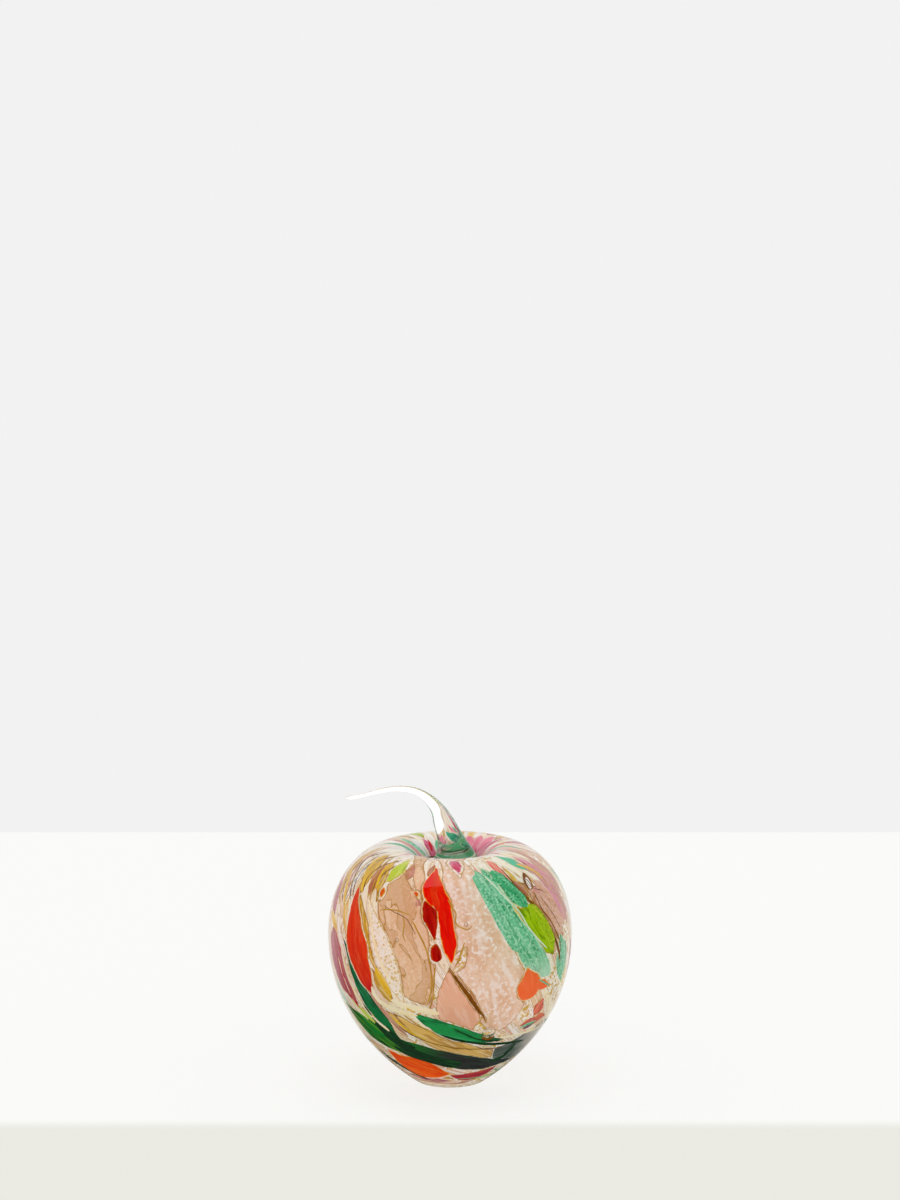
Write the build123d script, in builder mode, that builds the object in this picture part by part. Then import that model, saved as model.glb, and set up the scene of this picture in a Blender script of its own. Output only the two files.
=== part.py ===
from build123d import *

import os
from math import atan2, cos, radians, sin, tan
from typing import NamedTuple

# An art glass apple: a hollow first gather, an opal skin, coloured chips rolled into an ivory ground,
# a thick clear casing with a few trapped bubbles, and a drawn clear stem set in the dimple.
# Millimetres, +Z up, origin at the middle of the ground base, the front of the apple towards -Y.

# Outside of the apple
BODY_RADIUS = 45.0
WIDEST_HEIGHT = 56.0
SHOULDER_HEIGHT = 89.0
SHOULDER_RADIUS = 21.0
DIMPLE_FLOOR = 77.0
BASE_RADIUS = 12.5
FLANK_ANGLE = 34.0

# How far each curve of the outline keeps its starting direction
BASE_SWEEP = 21.0
LOWER_SWEEP = 26.0
UPPER_SWEEP = 18.5
SHOULDER_SWEEP = 13.5
LIP_SWEEP = 9.0
FLOOR_SWEEP = 8.0
DIMPLE_EASE = 0.4

# Layers of glass, from the outside in
CASING_WALL = 4.0
CHIP_THICKNESS = 1.0
OPAL_THICKNESS = 0.8

# The blown hollow inside the first gather
HOLLOW_RADIUS = 27.0
HOLLOW_MIDDLE = 40.0

# Cream vein left between two neighbouring chips
VEIN = 0.55
SMALLEST_CHIP = 1.5
PRISM_MARGIN = 2.5
NARROWEST_CURVE = 24.0

# Trapped air bubbles in the casing
FLAT_BUBBLE_RADIUS = 2.6
FLAT_BUBBLE_DEPTH = 1.2
LONG_BUBBLE_RADIUS = 1.4
LONG_BUBBLE_LENGTH = 6.4
SEED_BUBBLE_RADIUS = 0.8
FLAT_BUBBLE_TURN = 22.5
FLAT_BUBBLE_RISE = 0.272
LONG_BUBBLE_TURN = 52.5
LONG_BUBBLE_RISE = 0.687
LONG_BUBBLE_LEAN = 12.0
SEED_BUBBLES = [(-26.5, 0.55), (8, 0.6), (118, 0.5), (205, 0.66), (248, 0.4)]

# Stem: height above the dimple's floor, sideways reach and radius of each ring of the drawn glass
STEM_FOOT_RADIUS = 13.0
STEM_FOOT_SINK = 2.0


class Ring(NamedTuple):
    """A round section of the drawn stem."""

    reach: float
    height: float
    radius: float


STEM_RINGS = [
    Ring(2.1, 3.2, 11.6),
    Ring(1.9, 6.0, 9.4),
    Ring(1.6, 9.0, 7.4),
    Ring(0.9, 12.2, 5.7),
    Ring(-0.4, 16.0, 4.6),
    Ring(-2.6, 21.6, 3.7),
    Ring(-4.3, 25.3, 2.8),
    Ring(-6.5, 28.2, 2.15),
    Ring(-9.6, 30.9, 1.65),
    Ring(-13.2, 32.7, 1.3),
    Ring(-18.5, 33.5, 1.05),
    Ring(-25.9, 32.6, 0.85),
    Ring(-32.6, 30.8, 0.65),
    Ring(-37.6, 29.9, 0.52),
    Ring(-38.2, 29.8, 0.36),
]


class Chip(NamedTuple):
    """A leaf-shaped chip of coloured glass on the wall of the apple.

    turn: degrees round the apple from the front, to the right
    rise: share of the way up the wall, from the edge of the base to the middle of the dimple
    length, width: size of the leaf
    lean: degrees that its upper tip is turned to the left
    bend: how far its middle stands off the straight line between its tips, to the right
    belly: share of its length, from the lower tip, at which it is widest
    low_tip, high_tip: half angle of each tip, 90 for a round end
    vein: ground left round it by the chips that come after it
    """

    node: str
    turn: float
    rise: float
    length: float
    width: float
    lean: float
    bend: float = 0.0
    belly: float = 0.5
    low_tip: float = 25.0
    high_tip: float = 25.0
    vein: float = VEIN


# Chips that come first keep their whole outline, and the later ones make room for them.
CHIPS = [
    # Threads, spots and drops
    Chip("brown_threads", 8.8, 0.392, 27, 1.5, 33, 0.5, 0.52, 8, 8, 0.2),
    Chip("brown_threads", 57.6, 0.56, 39, 1.4, 30, 0.2, 0.55, 8, 8, 0.2),
    Chip("brown_threads", 141, 0.47, 28, 1.3, 28, 1.0, 0.5, 8, 8, 0.2),
    Chip("brown_threads", 206, 0.62, 24, 1.2, 20, -1.5, 0.5, 8, 8, 0.2),
    Chip("orange_spots", -42.5, 0.673, 4.2, 2.3, 18, 0, 0.5, 50, 50),
    Chip("orange_spots", -21, 0.682, 3.4, 1.9, 55, 0, 0.5, 50, 50),
    Chip("orange_spots", 128, 0.66, 4.0, 2.2, 10, 0, 0.5, 50, 50),
    Chip("orange_spots", 229, 0.6, 3.8, 2.0, 30, 0, 0.5, 50, 50),
    Chip("garnet_drop", -7, 0.522, 6.6, 3.9, 3, 0, 0.45, 90, 60),
    # Red blades of the front
    Chip("scarlet_blade", -4.2, 0.634, 35.2, 5.4, 11.8, 0.7, 0.32, 40, 12, 0.12),
    Chip("scarlet_blade", -10.3, 0.708, 15, 5.8, 6, -1.2, 0.36, 42, 16, 0.2),
    Chip("garnet_blade", -10.1, 0.612, 16.6, 5.0, 15.2, 0.1, 0.7, 14, 66, 0.3),
    Chip("vermilion_blade", -52.2, 0.515, 42.8, 10.6, 20, -0.6, 0.42, 20, 13),
    Chip("coral_tooth", 43, 0.407, 13, 11.0, 10, 0.4, 0.4, 85, 45, 0.12),
    Chip("coral_tooth", 54, 0.396, 9.5, 3.6, -103, 0, 0.5, 40, 22),
    Chip("red_crumbs", 56, 0.322, 7.4, 6.6, -24, 0, 0.45, 60, 40),
    Chip("red_crumbs", 56, 0.272, 14, 4.2, 97, 0.8, 0.5, 34, 24),
    Chip("magenta_wedge", 5.5, 0.785, 9.5, 4.6, 8, 0, 0.68, 24, 80),
    # The dark band low on the front, and what lies against it
    Chip("bottle_band", 1.5, 0.128, 45, 8.8, 66.5, 2.3, 0.43, 24, 22, 0.12),
    Chip("grass_leaf", -57, 0.229, 31, 10.6, 51, 2.4, 0.48, 28, 18, 0.12),
    Chip("orange_chip", -31, 0.113, 24, 14.6, 55, -1.4, 0.42, 46, 26),
    Chip("crimson_sliver", 26, 0.072, 17, 6.6, 106, -2.6, 0.52, 30, 28),
    Chip("emerald_leaf", 5.5, 0.265, 35, 6.8, 67, -0.2, 0.6, 12, 30),
    Chip("forest_leaf", -50.2, 0.363, 43, 8.2, 26.5, 2.0, 0.54, 14, 12),
    Chip("slate_chip", 52.6, 0.22, 22, 14.7, 112, -6.2, 0.53, 50, 44, 0.2),
    Chip("pink_oval", 5, 0.374, 28.4, 14, 15, -1.4, 0.46, 76, 30, 0.2),
    Chip("caramel_streak", 0.8, 0.214, 47, 7.6, 61.5, -0.2, 0.55, 16, 14, 0.2),
    Chip("caramel_streak", -26, 0.286, 18, 5.6, 51, 0.4, 0.5, 24, 22, 0.2),
    # Greens and limes of the right side
    Chip("mint_band", 46.6, 0.596, 46, 7.2, 23.5, -7.8, 0.5, 46, 18, 0.3),
    Chip("fern_leaf", 35.6, 0.702, 19.5, 6.8, 26.5, -0.9, 0.42, 32, 16, 0.3),
    Chip("lime_patch", 51, 0.56, 26, 8.4, 34.6, -0.4, 0.5, 38, 44, 0.3),
    Chip("moss_chip", 71.5, 0.45, 20, 9.0, 12, -0.6, 0.55, 34, 34, 0.3),
    Chip("top_green_leaf", 60, 0.765, 13, 4.8, 20, -1.0, 0.5, 28, 28),
    Chip("coral_streak", 40.3, 0.742, 16, 3.6, 8, -1.0, 0.5, 16, 28, 0.3),
    Chip("brown_streaks", 46.5, 0.681, 11.5, 2.8, 28, 0, 0.5, 14, 20, 0.3),
    Chip("russet_line", 75, 0.712, 21, 2.6, 31, -2.0, 0.5, 14, 14, 0.3),
    Chip("magenta_streak", 79, 0.622, 19, 4.2, 22, -0.7, 0.5, 16, 16, 0.3),
    Chip("pink_patch", 60.5, 0.597, 31, 10.4, 31, 0, 0.54, 32, 32, 0.3),
    Chip("pink_patch", -31, 0.752, 10, 4.0, 5, 0.5, 0.42, 24, 30, 0.3),
    Chip("pink_patch", -13, 0.757, 9, 4.0, 4, 0, 0.5, 24, 32, 0.3),
    Chip("pink_patch", -19.5, 0.652, 10, 3.6, 10, 0, 0.45, 30, 24, 0.3),
    # Streaks of the left shoulder and the left edge
    Chip("lime_streaks", -43.5, 0.752, 12.5, 5.4, -5, 1.2, 0.42, 34, 24),
    Chip("lime_streaks", -53, 0.288, 20, 3.2, 52, 1.2, 0.5, 14, 14, 0.2),
    Chip("brown_streaks", -54, 0.705, 15, 4.4, 13, 0.4, 0.45, 24, 26, 0.3),
    Chip("gold_streaks", -47.5, 0.706, 17, 4.2, 15, 0.6, 0.5, 24, 26, 0.3),
    Chip("gold_streaks", -63.5, 0.712, 19, 5.4, 14, 0.5, 0.45, 22, 26, 0.3),
    Chip("silver_streak", -74, 0.684, 21, 4.6, 12, 1.3, 0.45, 16, 20, 0.3),
    Chip("gold_streaks", -85, 0.69, 23, 4.6, 22, -1.6, 0.5, 16, 20, 0.3),
    Chip("rose_streaks", -67, 0.424, 33, 11.0, 26, -1.6, 0.58, 14, 46),
    Chip("rose_streaks", -86, 0.6, 19, 5.6, 34, 0.4, 0.45, 24, 22),
    Chip("sage_streak", -74, 0.336, 17, 5.0, 28, -1.0, 0.5, 20, 18, 0.3),
    Chip("charcoal_sliver", -51, 0.082, 20, 4.4, 48, 1.0, 0.5, 16, 16, 0.3),
    Chip("plum_sliver", -31, 0.026, 17, 3.6, 76, 0.8, 0.5, 18, 18, 0.3),
    Chip("gold_streaks", 2, 0.046, 20, 3.6, 82, 0.6, 0.5, 16, 16, 0.3),
    Chip("lime_streaks", 36, 0.03, 14, 3.6, 98, 0.4, 0.5, 18, 18, 0.3),
    Chip("mica_bands", -37, 0.499, 41, 8.6, 25, 1.7, 0.52, 18, 14, 0.3),
    Chip("mica_bands", 4.5, 0.497, 11, 4.2, -25, 0, 0.5, 22, 24, 0.2),
    Chip("gold_streaks", -46.5, 0.53, 38, 4.6, 30, 1.4, 0.55, 12, 12, 0.3),
    Chip("gold_streaks", -36, 0.405, 15, 5.0, 33, 0, 0.5, 24, 20, 0.3),
    # Back of the apple
    Chip("back_red_blades", 138, 0.6, 38, 6.8, 16, 0.5, 0.45, 28, 13),
    Chip("back_red_blades", 205, 0.54, 42, 7.2, 24, -0.6, 0.5, 13, 14),
    Chip("back_red_blades", 256, 0.62, 24, 4.8, 14, -0.8, 0.6, 12, 32),
    Chip("back_green_leaves", 190, 0.66, 25, 6.6, 26, -2.0, 0.5, 26, 12),
    Chip("back_green_leaves", 150, 0.37, 28, 7.2, 36, -0.8, 0.55, 12, 22),
    Chip("back_green_leaves", 224, 0.37, 32, 7.6, 30, -0.6, 0.52, 13, 13),
    Chip("back_green_leaves", 101, 0.6, 26, 5.4, 24, -1.0, 0.5, 20, 16),
    Chip("back_mint_band", 178, 0.5, 44, 7.6, 27, -5.0, 0.55, 30, 18),
    Chip("back_lime_chips", 128, 0.41, 19, 7.2, 38, 0, 0.55, 34, 34),
    Chip("back_lime_chips", 243, 0.46, 18, 6.4, 30, 0, 0.55, 30, 34),
    Chip("back_lime_chips", 212, 0.755, 13, 4.2, 10, -0.6, 0.5, 24, 28),
    Chip("back_coral_chips", 172, 0.345, 12, 8.6, 14, 0.3, 0.42, 80, 42),
    Chip("back_coral_chips", 109, 0.36, 9, 6.0, -20, 0, 0.45, 60, 44),
    Chip("back_coral_chips", 264, 0.42, 11, 6.6, 30, 0, 0.5, 50, 38),
    Chip("back_bottle_band", 101, 0.2, 34, 8.6, 72, 1.6, 0.5, 20, 20, 0.12),
    Chip("back_bottle_band", 156, 0.185, 38, 9.4, 80, 2.4, 0.5, 20, 20, 0.12),
    Chip("back_bottle_band", 212, 0.2, 38, 9.0, 74, 1.8, 0.5, 20, 20, 0.12),
    Chip("back_bottle_band", 262, 0.215, 30, 8.4, 64, 1.2, 0.5, 20, 20, 0.12),
    Chip("back_orange_chips", 126, 0.11, 24, 8.6, 70, 0.6, 0.5, 38, 20),
    Chip("back_orange_chips", 186, 0.1, 22, 7.6, 78, 0.4, 0.5, 30, 24),
    Chip("back_orange_chips", 240, 0.12, 24, 8.4, 66, 0.6, 0.5, 40, 18),
    Chip("rose_streaks", 152, 0.71, 19, 4.6, 20, -0.6, 0.5, 18, 26),
    Chip("rose_streaks", 240, 0.7, 18, 4.4, 18, -0.5, 0.5, 18, 26),
    Chip("rose_streaks", 117, 0.735, 17, 3.8, 20, -0.6, 0.5, 16, 24),
    Chip("rose_streaks", 92, 0.4, 26, 6.6, 26, -1.2, 0.55, 16, 30),
    Chip("gold_streaks", 172, 0.75, 16, 3.6, 12, 0.3, 0.5, 18, 24, 0.3),
    Chip("gold_streaks", 226, 0.735, 17, 3.8, 16, 0.3, 0.5, 18, 24, 0.3),
    Chip("gold_streaks", 135, 0.75, 14, 3.2, 20, 0.2, 0.5, 18, 24, 0.3),
    Chip("mica_bands", 219, 0.54, 42, 6.8, 26, -0.5, 0.5, 15, 14, 0.3),
    Chip("mica_bands", 122, 0.54, 38, 6.2, 22, -0.5, 0.5, 15, 14, 0.3),
    # Large tan patches, which fill what the others leave
    Chip("tan_patch_left", -19.2, 0.574, 51.5, 18.5, 12.2, -3.4, 0.54, 60, 70),
    Chip("tan_patch_right", 17, 0.515, 62, 24, 15, 1.6, 0.54, 70, 60),
    Chip("back_tan_patches", 112, 0.53, 48, 16, 18, -1.5, 0.5, 60, 60),
    Chip("back_tan_patches", 158, 0.55, 50, 19, 16, 1.0, 0.5, 64, 64),
    Chip("back_tan_patches", 200, 0.58, 44, 14, 20, 0, 0.5, 60, 60),
    Chip("back_tan_patches", 240, 0.55, 48, 17, 20, -1.5, 0.5, 60, 60),
]


class Streak(NamedTuple):
    """A thin streak of colour that runs from the stem's foot over the lip of the dimple.

    turn: degrees round the apple from the front, to the right, at its outer tip
    inner, outer: distance of its tips from the axis, seen from above
    width: widest part
    bend: how far its middle stands off the straight line between its tips
    """

    node: str
    turn: float
    inner: float
    outer: float
    width: float
    bend: float


DIMPLE_STREAKS = [
    Streak("dimple_green_streaks", -108, 8, 27, 4.2, 0.8),
    Streak("dimple_green_streaks", 92, 9, 27, 1.8, 1.6),
    Streak("dimple_green_streaks", 18, 2, 22, 8.0, -0.6),
    Streak("dimple_green_streaks", 172, 2, 26, 8.0, 1.0),
    Streak("dimple_rose_streaks", -153, 7, 25, 3.8, 0.8),
    Streak("dimple_rose_streaks", -121, 8, 27, 3.0, 0.8),
    Streak("dimple_rose_streaks", 104, 9, 27, 1.6, 1.6),
    Streak("dimple_rose_streaks", 125, 6, 26, 7.4, 1.0),
    Streak("dimple_rose_streaks", -25, 8, 23, 3.2, 0.6),
    Streak("dimple_rose_streaks", 62, 9, 22, 2.6, 0.6),
    Streak("dimple_pearl_streaks", -92, 8, 25, 3.4, 0.6),
    Streak("dimple_pearl_streaks", 76, 9, 24, 2.6, 1.0),
    Streak("dimple_pearl_streaks", -138, 8, 25, 3.4, 0.8),
    Streak("dimple_red_streaks", 146, 6, 26, 7.0, 1.0),
    Streak("dimple_red_streaks", -60, 8, 22, 3.0, 0.6),
    Streak("dimple_red_streaks", -172, 8, 25, 2.8, 0.8),
]
STREAK_TIP = 14.0
STREAK_BELLY = 0.5


def wall_points(inset):
    """Control points of the three curves of the apple's outline, set in from the outside."""
    radius = BODY_RADIUS - inset
    base = BASE_RADIUS - inset * tan(radians(FLANK_ANGLE / 2))
    lip = SHOULDER_HEIGHT - inset
    floor = DIMPLE_FLOOR - inset
    flank = BASE_SWEEP * (radius - base) / (BODY_RADIUS - BASE_RADIUS)
    lower = LOWER_SWEEP * (WIDEST_HEIGHT - inset) / WIDEST_HEIGHT
    upper = UPPER_SWEEP * (lip - WIDEST_HEIGHT) / (SHOULDER_HEIGHT - WIDEST_HEIGHT)
    shoulder = SHOULDER_SWEEP * (radius - SHOULDER_RADIUS) / (BODY_RADIUS - SHOULDER_RADIUS)
    ease = DIMPLE_EASE * inset
    foot_of_flank = (base, inset)
    out_of_base = (base + flank * cos(radians(FLANK_ANGLE)), inset + flank * sin(radians(FLANK_ANGLE)))
    widest = (radius, WIDEST_HEIGHT)
    top = (SHOULDER_RADIUS, lip)
    return [
        (foot_of_flank, out_of_base, (radius, WIDEST_HEIGHT - lower), widest),
        (widest, (radius, WIDEST_HEIGHT + upper), (SHOULDER_RADIUS + shoulder, lip), top),
        (top, (SHOULDER_RADIUS - LIP_SWEEP + ease, lip), (FLOOR_SWEEP + ease, floor), (0, floor)),
    ]


def apple_body(inset):
    """The apple as a solid of revolution, set in from the outside, with its seam at the back."""
    with BuildPart() as body:
        with BuildSketch(Plane.YZ):
            with BuildLine():
                for points in wall_points(inset):
                    Bezier(*points)
                Polyline((0, DIMPLE_FLOOR - inset), (0, inset), wall_points(inset)[0][0])
            make_face()
        revolve(axis=Axis.Z)
    return body.part


# The wall on which the chips lie, as a half section with the radius along X
with BuildLine() as chip_wall:
    for wall_curve in wall_points(CASING_WALL):
        Bezier(*wall_curve)
CHIP_WALL = chip_wall.wire()


def wall_plane(turn, rise, lean=0.0, lift=0.0):
    """Plane on the chips' wall, its Z outward and its Y up the wall, turned by lean and lifted off."""
    distance = rise * CHIP_WALL.length
    place = CHIP_WALL.position_at(distance, position_mode=PositionMode.LENGTH)
    along = CHIP_WALL.tangent_at(distance, position_mode=PositionMode.LENGTH)
    angle = radians(turn)
    outward = Vector(along.Y * sin(angle), -along.Y * cos(angle), -along.X)
    origin = Vector(place.X * sin(angle), -place.X * cos(angle), place.Y) + outward * lift
    level = Vector(cos(angle), sin(angle), 0)
    upward = outward.cross(level)
    across = level * cos(radians(lean)) + upward * sin(radians(lean))
    return Plane(origin=origin, x_dir=across, z_dir=outward)


def leaf_prism(plane, length, width, bend, belly, low_tip, high_tip, depth):
    """A leaf along the plane's Y, two curves between its tips, cut down into the glass by depth."""
    swing = atan2(4 * bend, length)
    middle = (belly - 0.5) * length
    low = (0, -length / 2)
    high = (0, length / 2)
    with BuildPart() as prism:
        with BuildSketch(plane.offset(PRISM_MARGIN)):
            with BuildLine():
                for side in (1, -1):
                    start = swing + side * radians(low_tip)
                    end = -swing - side * radians(high_tip)
                    Spline(
                        low,
                        (bend + side * width / 2, middle),
                        high,
                        tangents=[(sin(start), cos(start)), (sin(end), cos(end))],
                    )
            make_face()
        extrude(amount=-(PRISM_MARGIN + depth))
    return prism.part


def chip_prism(chip, margin=0.0):
    """The chip's outline, with a margin all round, as a prism through the layer of chips."""
    half = chip.length / 2 + abs(chip.bend)
    return leaf_prism(
        wall_plane(chip.turn, chip.rise, chip.lean),
        chip.length + 4 * margin,
        chip.width + 2 * margin,
        chip.bend,
        chip.belly,
        chip.low_tip,
        chip.high_tip,
        CHIP_THICKNESS + PRISM_MARGIN + half * half / (2 * NARROWEST_CURVE),
    )


def streak_prism(streak, margin=0.0):
    """The streak's outline seen from above, with a margin all round, as an upright prism."""
    angle = radians(streak.turn)
    middle = (streak.inner + streak.outer) / 2
    above = Plane(
        origin=(middle * sin(angle), -middle * cos(angle), SHOULDER_HEIGHT),
        x_dir=(cos(angle), sin(angle), 0),
        z_dir=(0, 0, 1),
    )
    return leaf_prism(
        above,
        streak.outer - streak.inner + 4 * margin,
        streak.width + 2 * margin,
        streak.bend,
        STREAK_BELLY,
        STREAK_TIP,
        STREAK_TIP,
        SHOULDER_HEIGHT - DIMPLE_FLOOR + CASING_WALL + CHIP_THICKNESS + PRISM_MARGIN,
    )


def boxes_meet(one, other):
    """Whether two boxes overlap."""
    sides = zip(tuple(one.min), tuple(one.max), tuple(other.min), tuple(other.max))
    return all(low < other_high and other_low < high for low, high, other_low, other_high in sides)


def round_bubble(place, radius):
    """A round hollow."""
    with BuildPart(place) as bubble:
        Sphere(radius)
    return bubble.part


def long_bubble(place, radius, length):
    """A hollow with round ends, drawn out along the plane's Y."""
    straight = length / 2 - radius
    with BuildPart() as bubble:
        with BuildSketch(place):
            with BuildLine():
                CenterArc((0, -straight), radius, -90, 90)
                Line((radius, -straight), (radius, straight))
                CenterArc((0, straight), radius, 0, 90)
                Line((0, length / 2), (0, -length / 2))
            make_face()
        revolve(axis=Axis(place.origin, place.y_dir))
    return bubble.part


def flat_bubble(place, radius, depth):
    """A hollow squeezed flat along the plane's Z, with a round rim."""
    upright = Plane(place.origin, x_dir=place.x_dir, z_dir=-place.y_dir)
    rim = radius - depth
    with BuildPart() as bubble:
        with BuildSketch(upright):
            with BuildLine():
                CenterArc((rim, 0), depth, -90, 180)
                Polyline((rim, depth), (0, depth), (0, -depth), (rim, -depth))
            make_face()
        revolve(axis=Axis(place.origin, place.z_dir))
    return bubble.part


# Nested bodies, from the outside in
apple_outside = apple_body(0)
chip_body = apple_body(CASING_WALL)
opal_body = apple_body(CASING_WALL + CHIP_THICKNESS)
core_body = apple_body(CASING_WALL + CHIP_THICKNESS + OPAL_THICKNESS)

# First gather, blown hollow
hollow = round_bubble(Plane.XY.offset(HOLLOW_MIDDLE), HOLLOW_RADIUS)
with BuildPart() as core_gather:
    add(core_body)
    add(hollow, mode=Mode.SUBTRACT)

# Opal skin over the first gather
with BuildPart() as opal_skin:
    add(opal_body)
    add(core_body, mode=Mode.SUBTRACT)

# Layer that the chips are rolled into
with BuildPart() as colour_layer:
    add(chip_body)
    add(opal_body, mode=Mode.SUBTRACT)

# Chips and streaks, each making room for those before it
chip_groups = {}
pockets = []
halos = []
for row in CHIPS + DIMPLE_STREAKS:
    make_prism = chip_prism if isinstance(row, Chip) else streak_prism
    vein = row.vein if isinstance(row, Chip) else VEIN
    outline = make_prism(row)
    box = outline.bounding_box()
    with BuildPart() as pocket:
        add(outline)
        neighbours = [halo for halo, halo_box in halos if boxes_meet(box, halo_box)]
        if neighbours:
            add(neighbours, mode=Mode.SUBTRACT)
    halo = make_prism(row, vein)
    halos.append((halo, halo.bounding_box()))
    for prism in pocket.part.solids():
        piece = prism & colour_layer.part
        solids = piece.solids() if piece else []
        whole = [solid for solid in solids if solid.volume > SMALLEST_CHIP]
        if whole:
            chip_groups.setdefault(row.node, []).extend(whole)
            pockets.append(prism)

# Ivory ground, which shows as veins between the chips
with BuildPart() as ivory_ground:
    add(colour_layer.part)
    add(pockets, mode=Mode.SUBTRACT)

# Clear casing, with trapped bubbles half way through its wall
flat_place = wall_plane(FLAT_BUBBLE_TURN, FLAT_BUBBLE_RISE, 0, CASING_WALL / 2)
long_place = wall_plane(LONG_BUBBLE_TURN, LONG_BUBBLE_RISE, LONG_BUBBLE_LEAN, CASING_WALL / 2)
bubbles = [
    flat_bubble(flat_place, FLAT_BUBBLE_RADIUS, FLAT_BUBBLE_DEPTH),
    long_bubble(long_place, LONG_BUBBLE_RADIUS, LONG_BUBBLE_LENGTH),
]
for turn, rise in SEED_BUBBLES:
    bubbles.append(round_bubble(wall_plane(turn, rise, 0, CASING_WALL / 2), SEED_BUBBLE_RADIUS))
with BuildPart() as clear_casing:
    add(apple_outside)
    add([chip_body, *bubbles], mode=Mode.SUBTRACT)

# Stem drawn from a hot gather, its foot seated in the dimple
with BuildPart() as stem:
    rings = [Ring(STEM_RINGS[0].reach, -STEM_FOOT_SINK, STEM_FOOT_RADIUS)] + STEM_RINGS
    for index, ring in enumerate(rings):
        before = rings[max(index - 1, 0)]
        after = rings[min(index + 1, len(rings) - 1)]
        along = (after.reach - before.reach, 0, after.height - before.height)
        centre = (ring.reach, 0, DIMPLE_FLOOR + ring.height)
        with BuildSketch(Plane(origin=centre, x_dir=(0, 1, 0), z_dir=along)):
            Circle(ring.radius)
    loft()
    add(apple_outside, mode=Mode.SUBTRACT)

os.makedirs("parts", exist_ok=True)

clear_casing.part.label = "clear_casing"
export_step(clear_casing.part, "parts/clear_casing.step")
stem.part.label = "stem"
export_step(stem.part, "parts/stem.step")
ivory_ground.part.label = "ivory_ground"
export_step(ivory_ground.part, "parts/ivory_ground.step")
opal_skin.part.label = "opal_skin"
export_step(opal_skin.part, "parts/opal_skin.step")
core_gather.part.label = "core_gather"
export_step(core_gather.part, "parts/core_gather.step")

for node, chip_solids in chip_groups.items():
    with BuildPart() as chips:
        add(chip_solids)
    chips.part.label = node
    export_step(chips.part, f"parts/{node}.step")
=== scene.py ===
"""An art glass apple: chips of coloured glass rolled hot into an ivory ground, cased in clear crystal.

Every size in a class is in millimetres, and is turned into metres where a mesh is made.
The front of the apple is towards -Y, a turn is degrees round it to the right, and a rise is the share of
the way up the wall of chips, from the edge of the base to the middle of the dimple.
"""

import logging
import math
from dataclasses import dataclass, field
from enum import Enum

import bpy
import numpy as np
from mathutils import Matrix, Vector, noise
from mathutils.geometry import delaunay_2d_cdt


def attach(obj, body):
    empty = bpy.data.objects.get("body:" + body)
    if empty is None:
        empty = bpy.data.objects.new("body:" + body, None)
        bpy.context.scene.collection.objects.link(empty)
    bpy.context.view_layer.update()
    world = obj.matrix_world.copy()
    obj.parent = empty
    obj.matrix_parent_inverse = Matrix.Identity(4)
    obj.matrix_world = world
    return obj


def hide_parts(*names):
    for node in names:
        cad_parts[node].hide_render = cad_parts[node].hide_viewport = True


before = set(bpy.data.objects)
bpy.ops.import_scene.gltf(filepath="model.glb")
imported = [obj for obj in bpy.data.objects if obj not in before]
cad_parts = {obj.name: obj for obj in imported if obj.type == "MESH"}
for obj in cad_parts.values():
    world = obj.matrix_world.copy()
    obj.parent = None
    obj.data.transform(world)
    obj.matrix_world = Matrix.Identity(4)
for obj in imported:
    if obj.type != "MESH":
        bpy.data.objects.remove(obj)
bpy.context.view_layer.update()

LOG = logging.getLogger("glass_apple")
MM = 0.001
ROOT = "root"
# Stands in for a rise of nothing, so that nothing is divided by zero.
TINY = 1e-12
SRGB_KNEE, SRGB_SLOPE, SRGB_OFFSET, SRGB_POWER = 0.04045, 12.92, 0.055, 2.4

Triple = tuple[float, float, float]
Colour = tuple[float, float, float, float]
Spot = tuple[float, float]
Faces = list[tuple[int, ...]]
Socket = bpy.types.NodeSocket
Value = Socket | float
Band = tuple[Value, Value]

# Sockets of the mixing node when it mixes colours.
MIX_FACTOR, MIX_FIRST, MIX_SECOND, MIX_RESULT = 0, 6, 7, 2


def linear(colour: str) -> Colour:
    """Turn an sRGB hex colour into linear light.

    Args:
        colour: Six hex digits after a hash.

    Returns:
        Linear red, green, blue and a full alpha.
    """
    light = []
    for start in (1, 3, 5):
        part = int(colour[start : start + 2], 16) / 255
        if part <= SRGB_KNEE:
            light.append(part / SRGB_SLOPE)
        else:
            light.append(((part + SRGB_OFFSET) / (1 + SRGB_OFFSET)) ** SRGB_POWER)
    return (light[0], light[1], light[2], 1.0)


@dataclass(frozen=True)
class CasingLight:
    """What a clear casing does to the colour of the chips under it.

    Part of the light that a chip sends out turns back at the outer surface and meets the chip again, so
    a chip shows darker and fuller through the casing than it does bare. The fields are how bright the room
    is, the share of its light that gets in, the share that is turned back on its way out, and the most that
    any glass sends back.
    """

    room: float = 1.1
    entering: float = 0.908
    turned_back: float = 0.596
    brightest: float = 0.97

    def bare(self, seen: str) -> Colour:
        """Colour of the bare chip that shows as a given colour through the casing.

        Args:
            seen: The sRGB hex colour that the eye sees.

        Returns:
            The chip's own linear colour.
        """
        gain = self.room * self.entering * (1 - self.turned_back)
        own = [min(part / (gain + self.turned_back * part), self.brightest) for part in linear(seen)[:3]]
        return (own[0], own[1], own[2], 1.0)


CASING_LIGHT = CasingLight()


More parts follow.
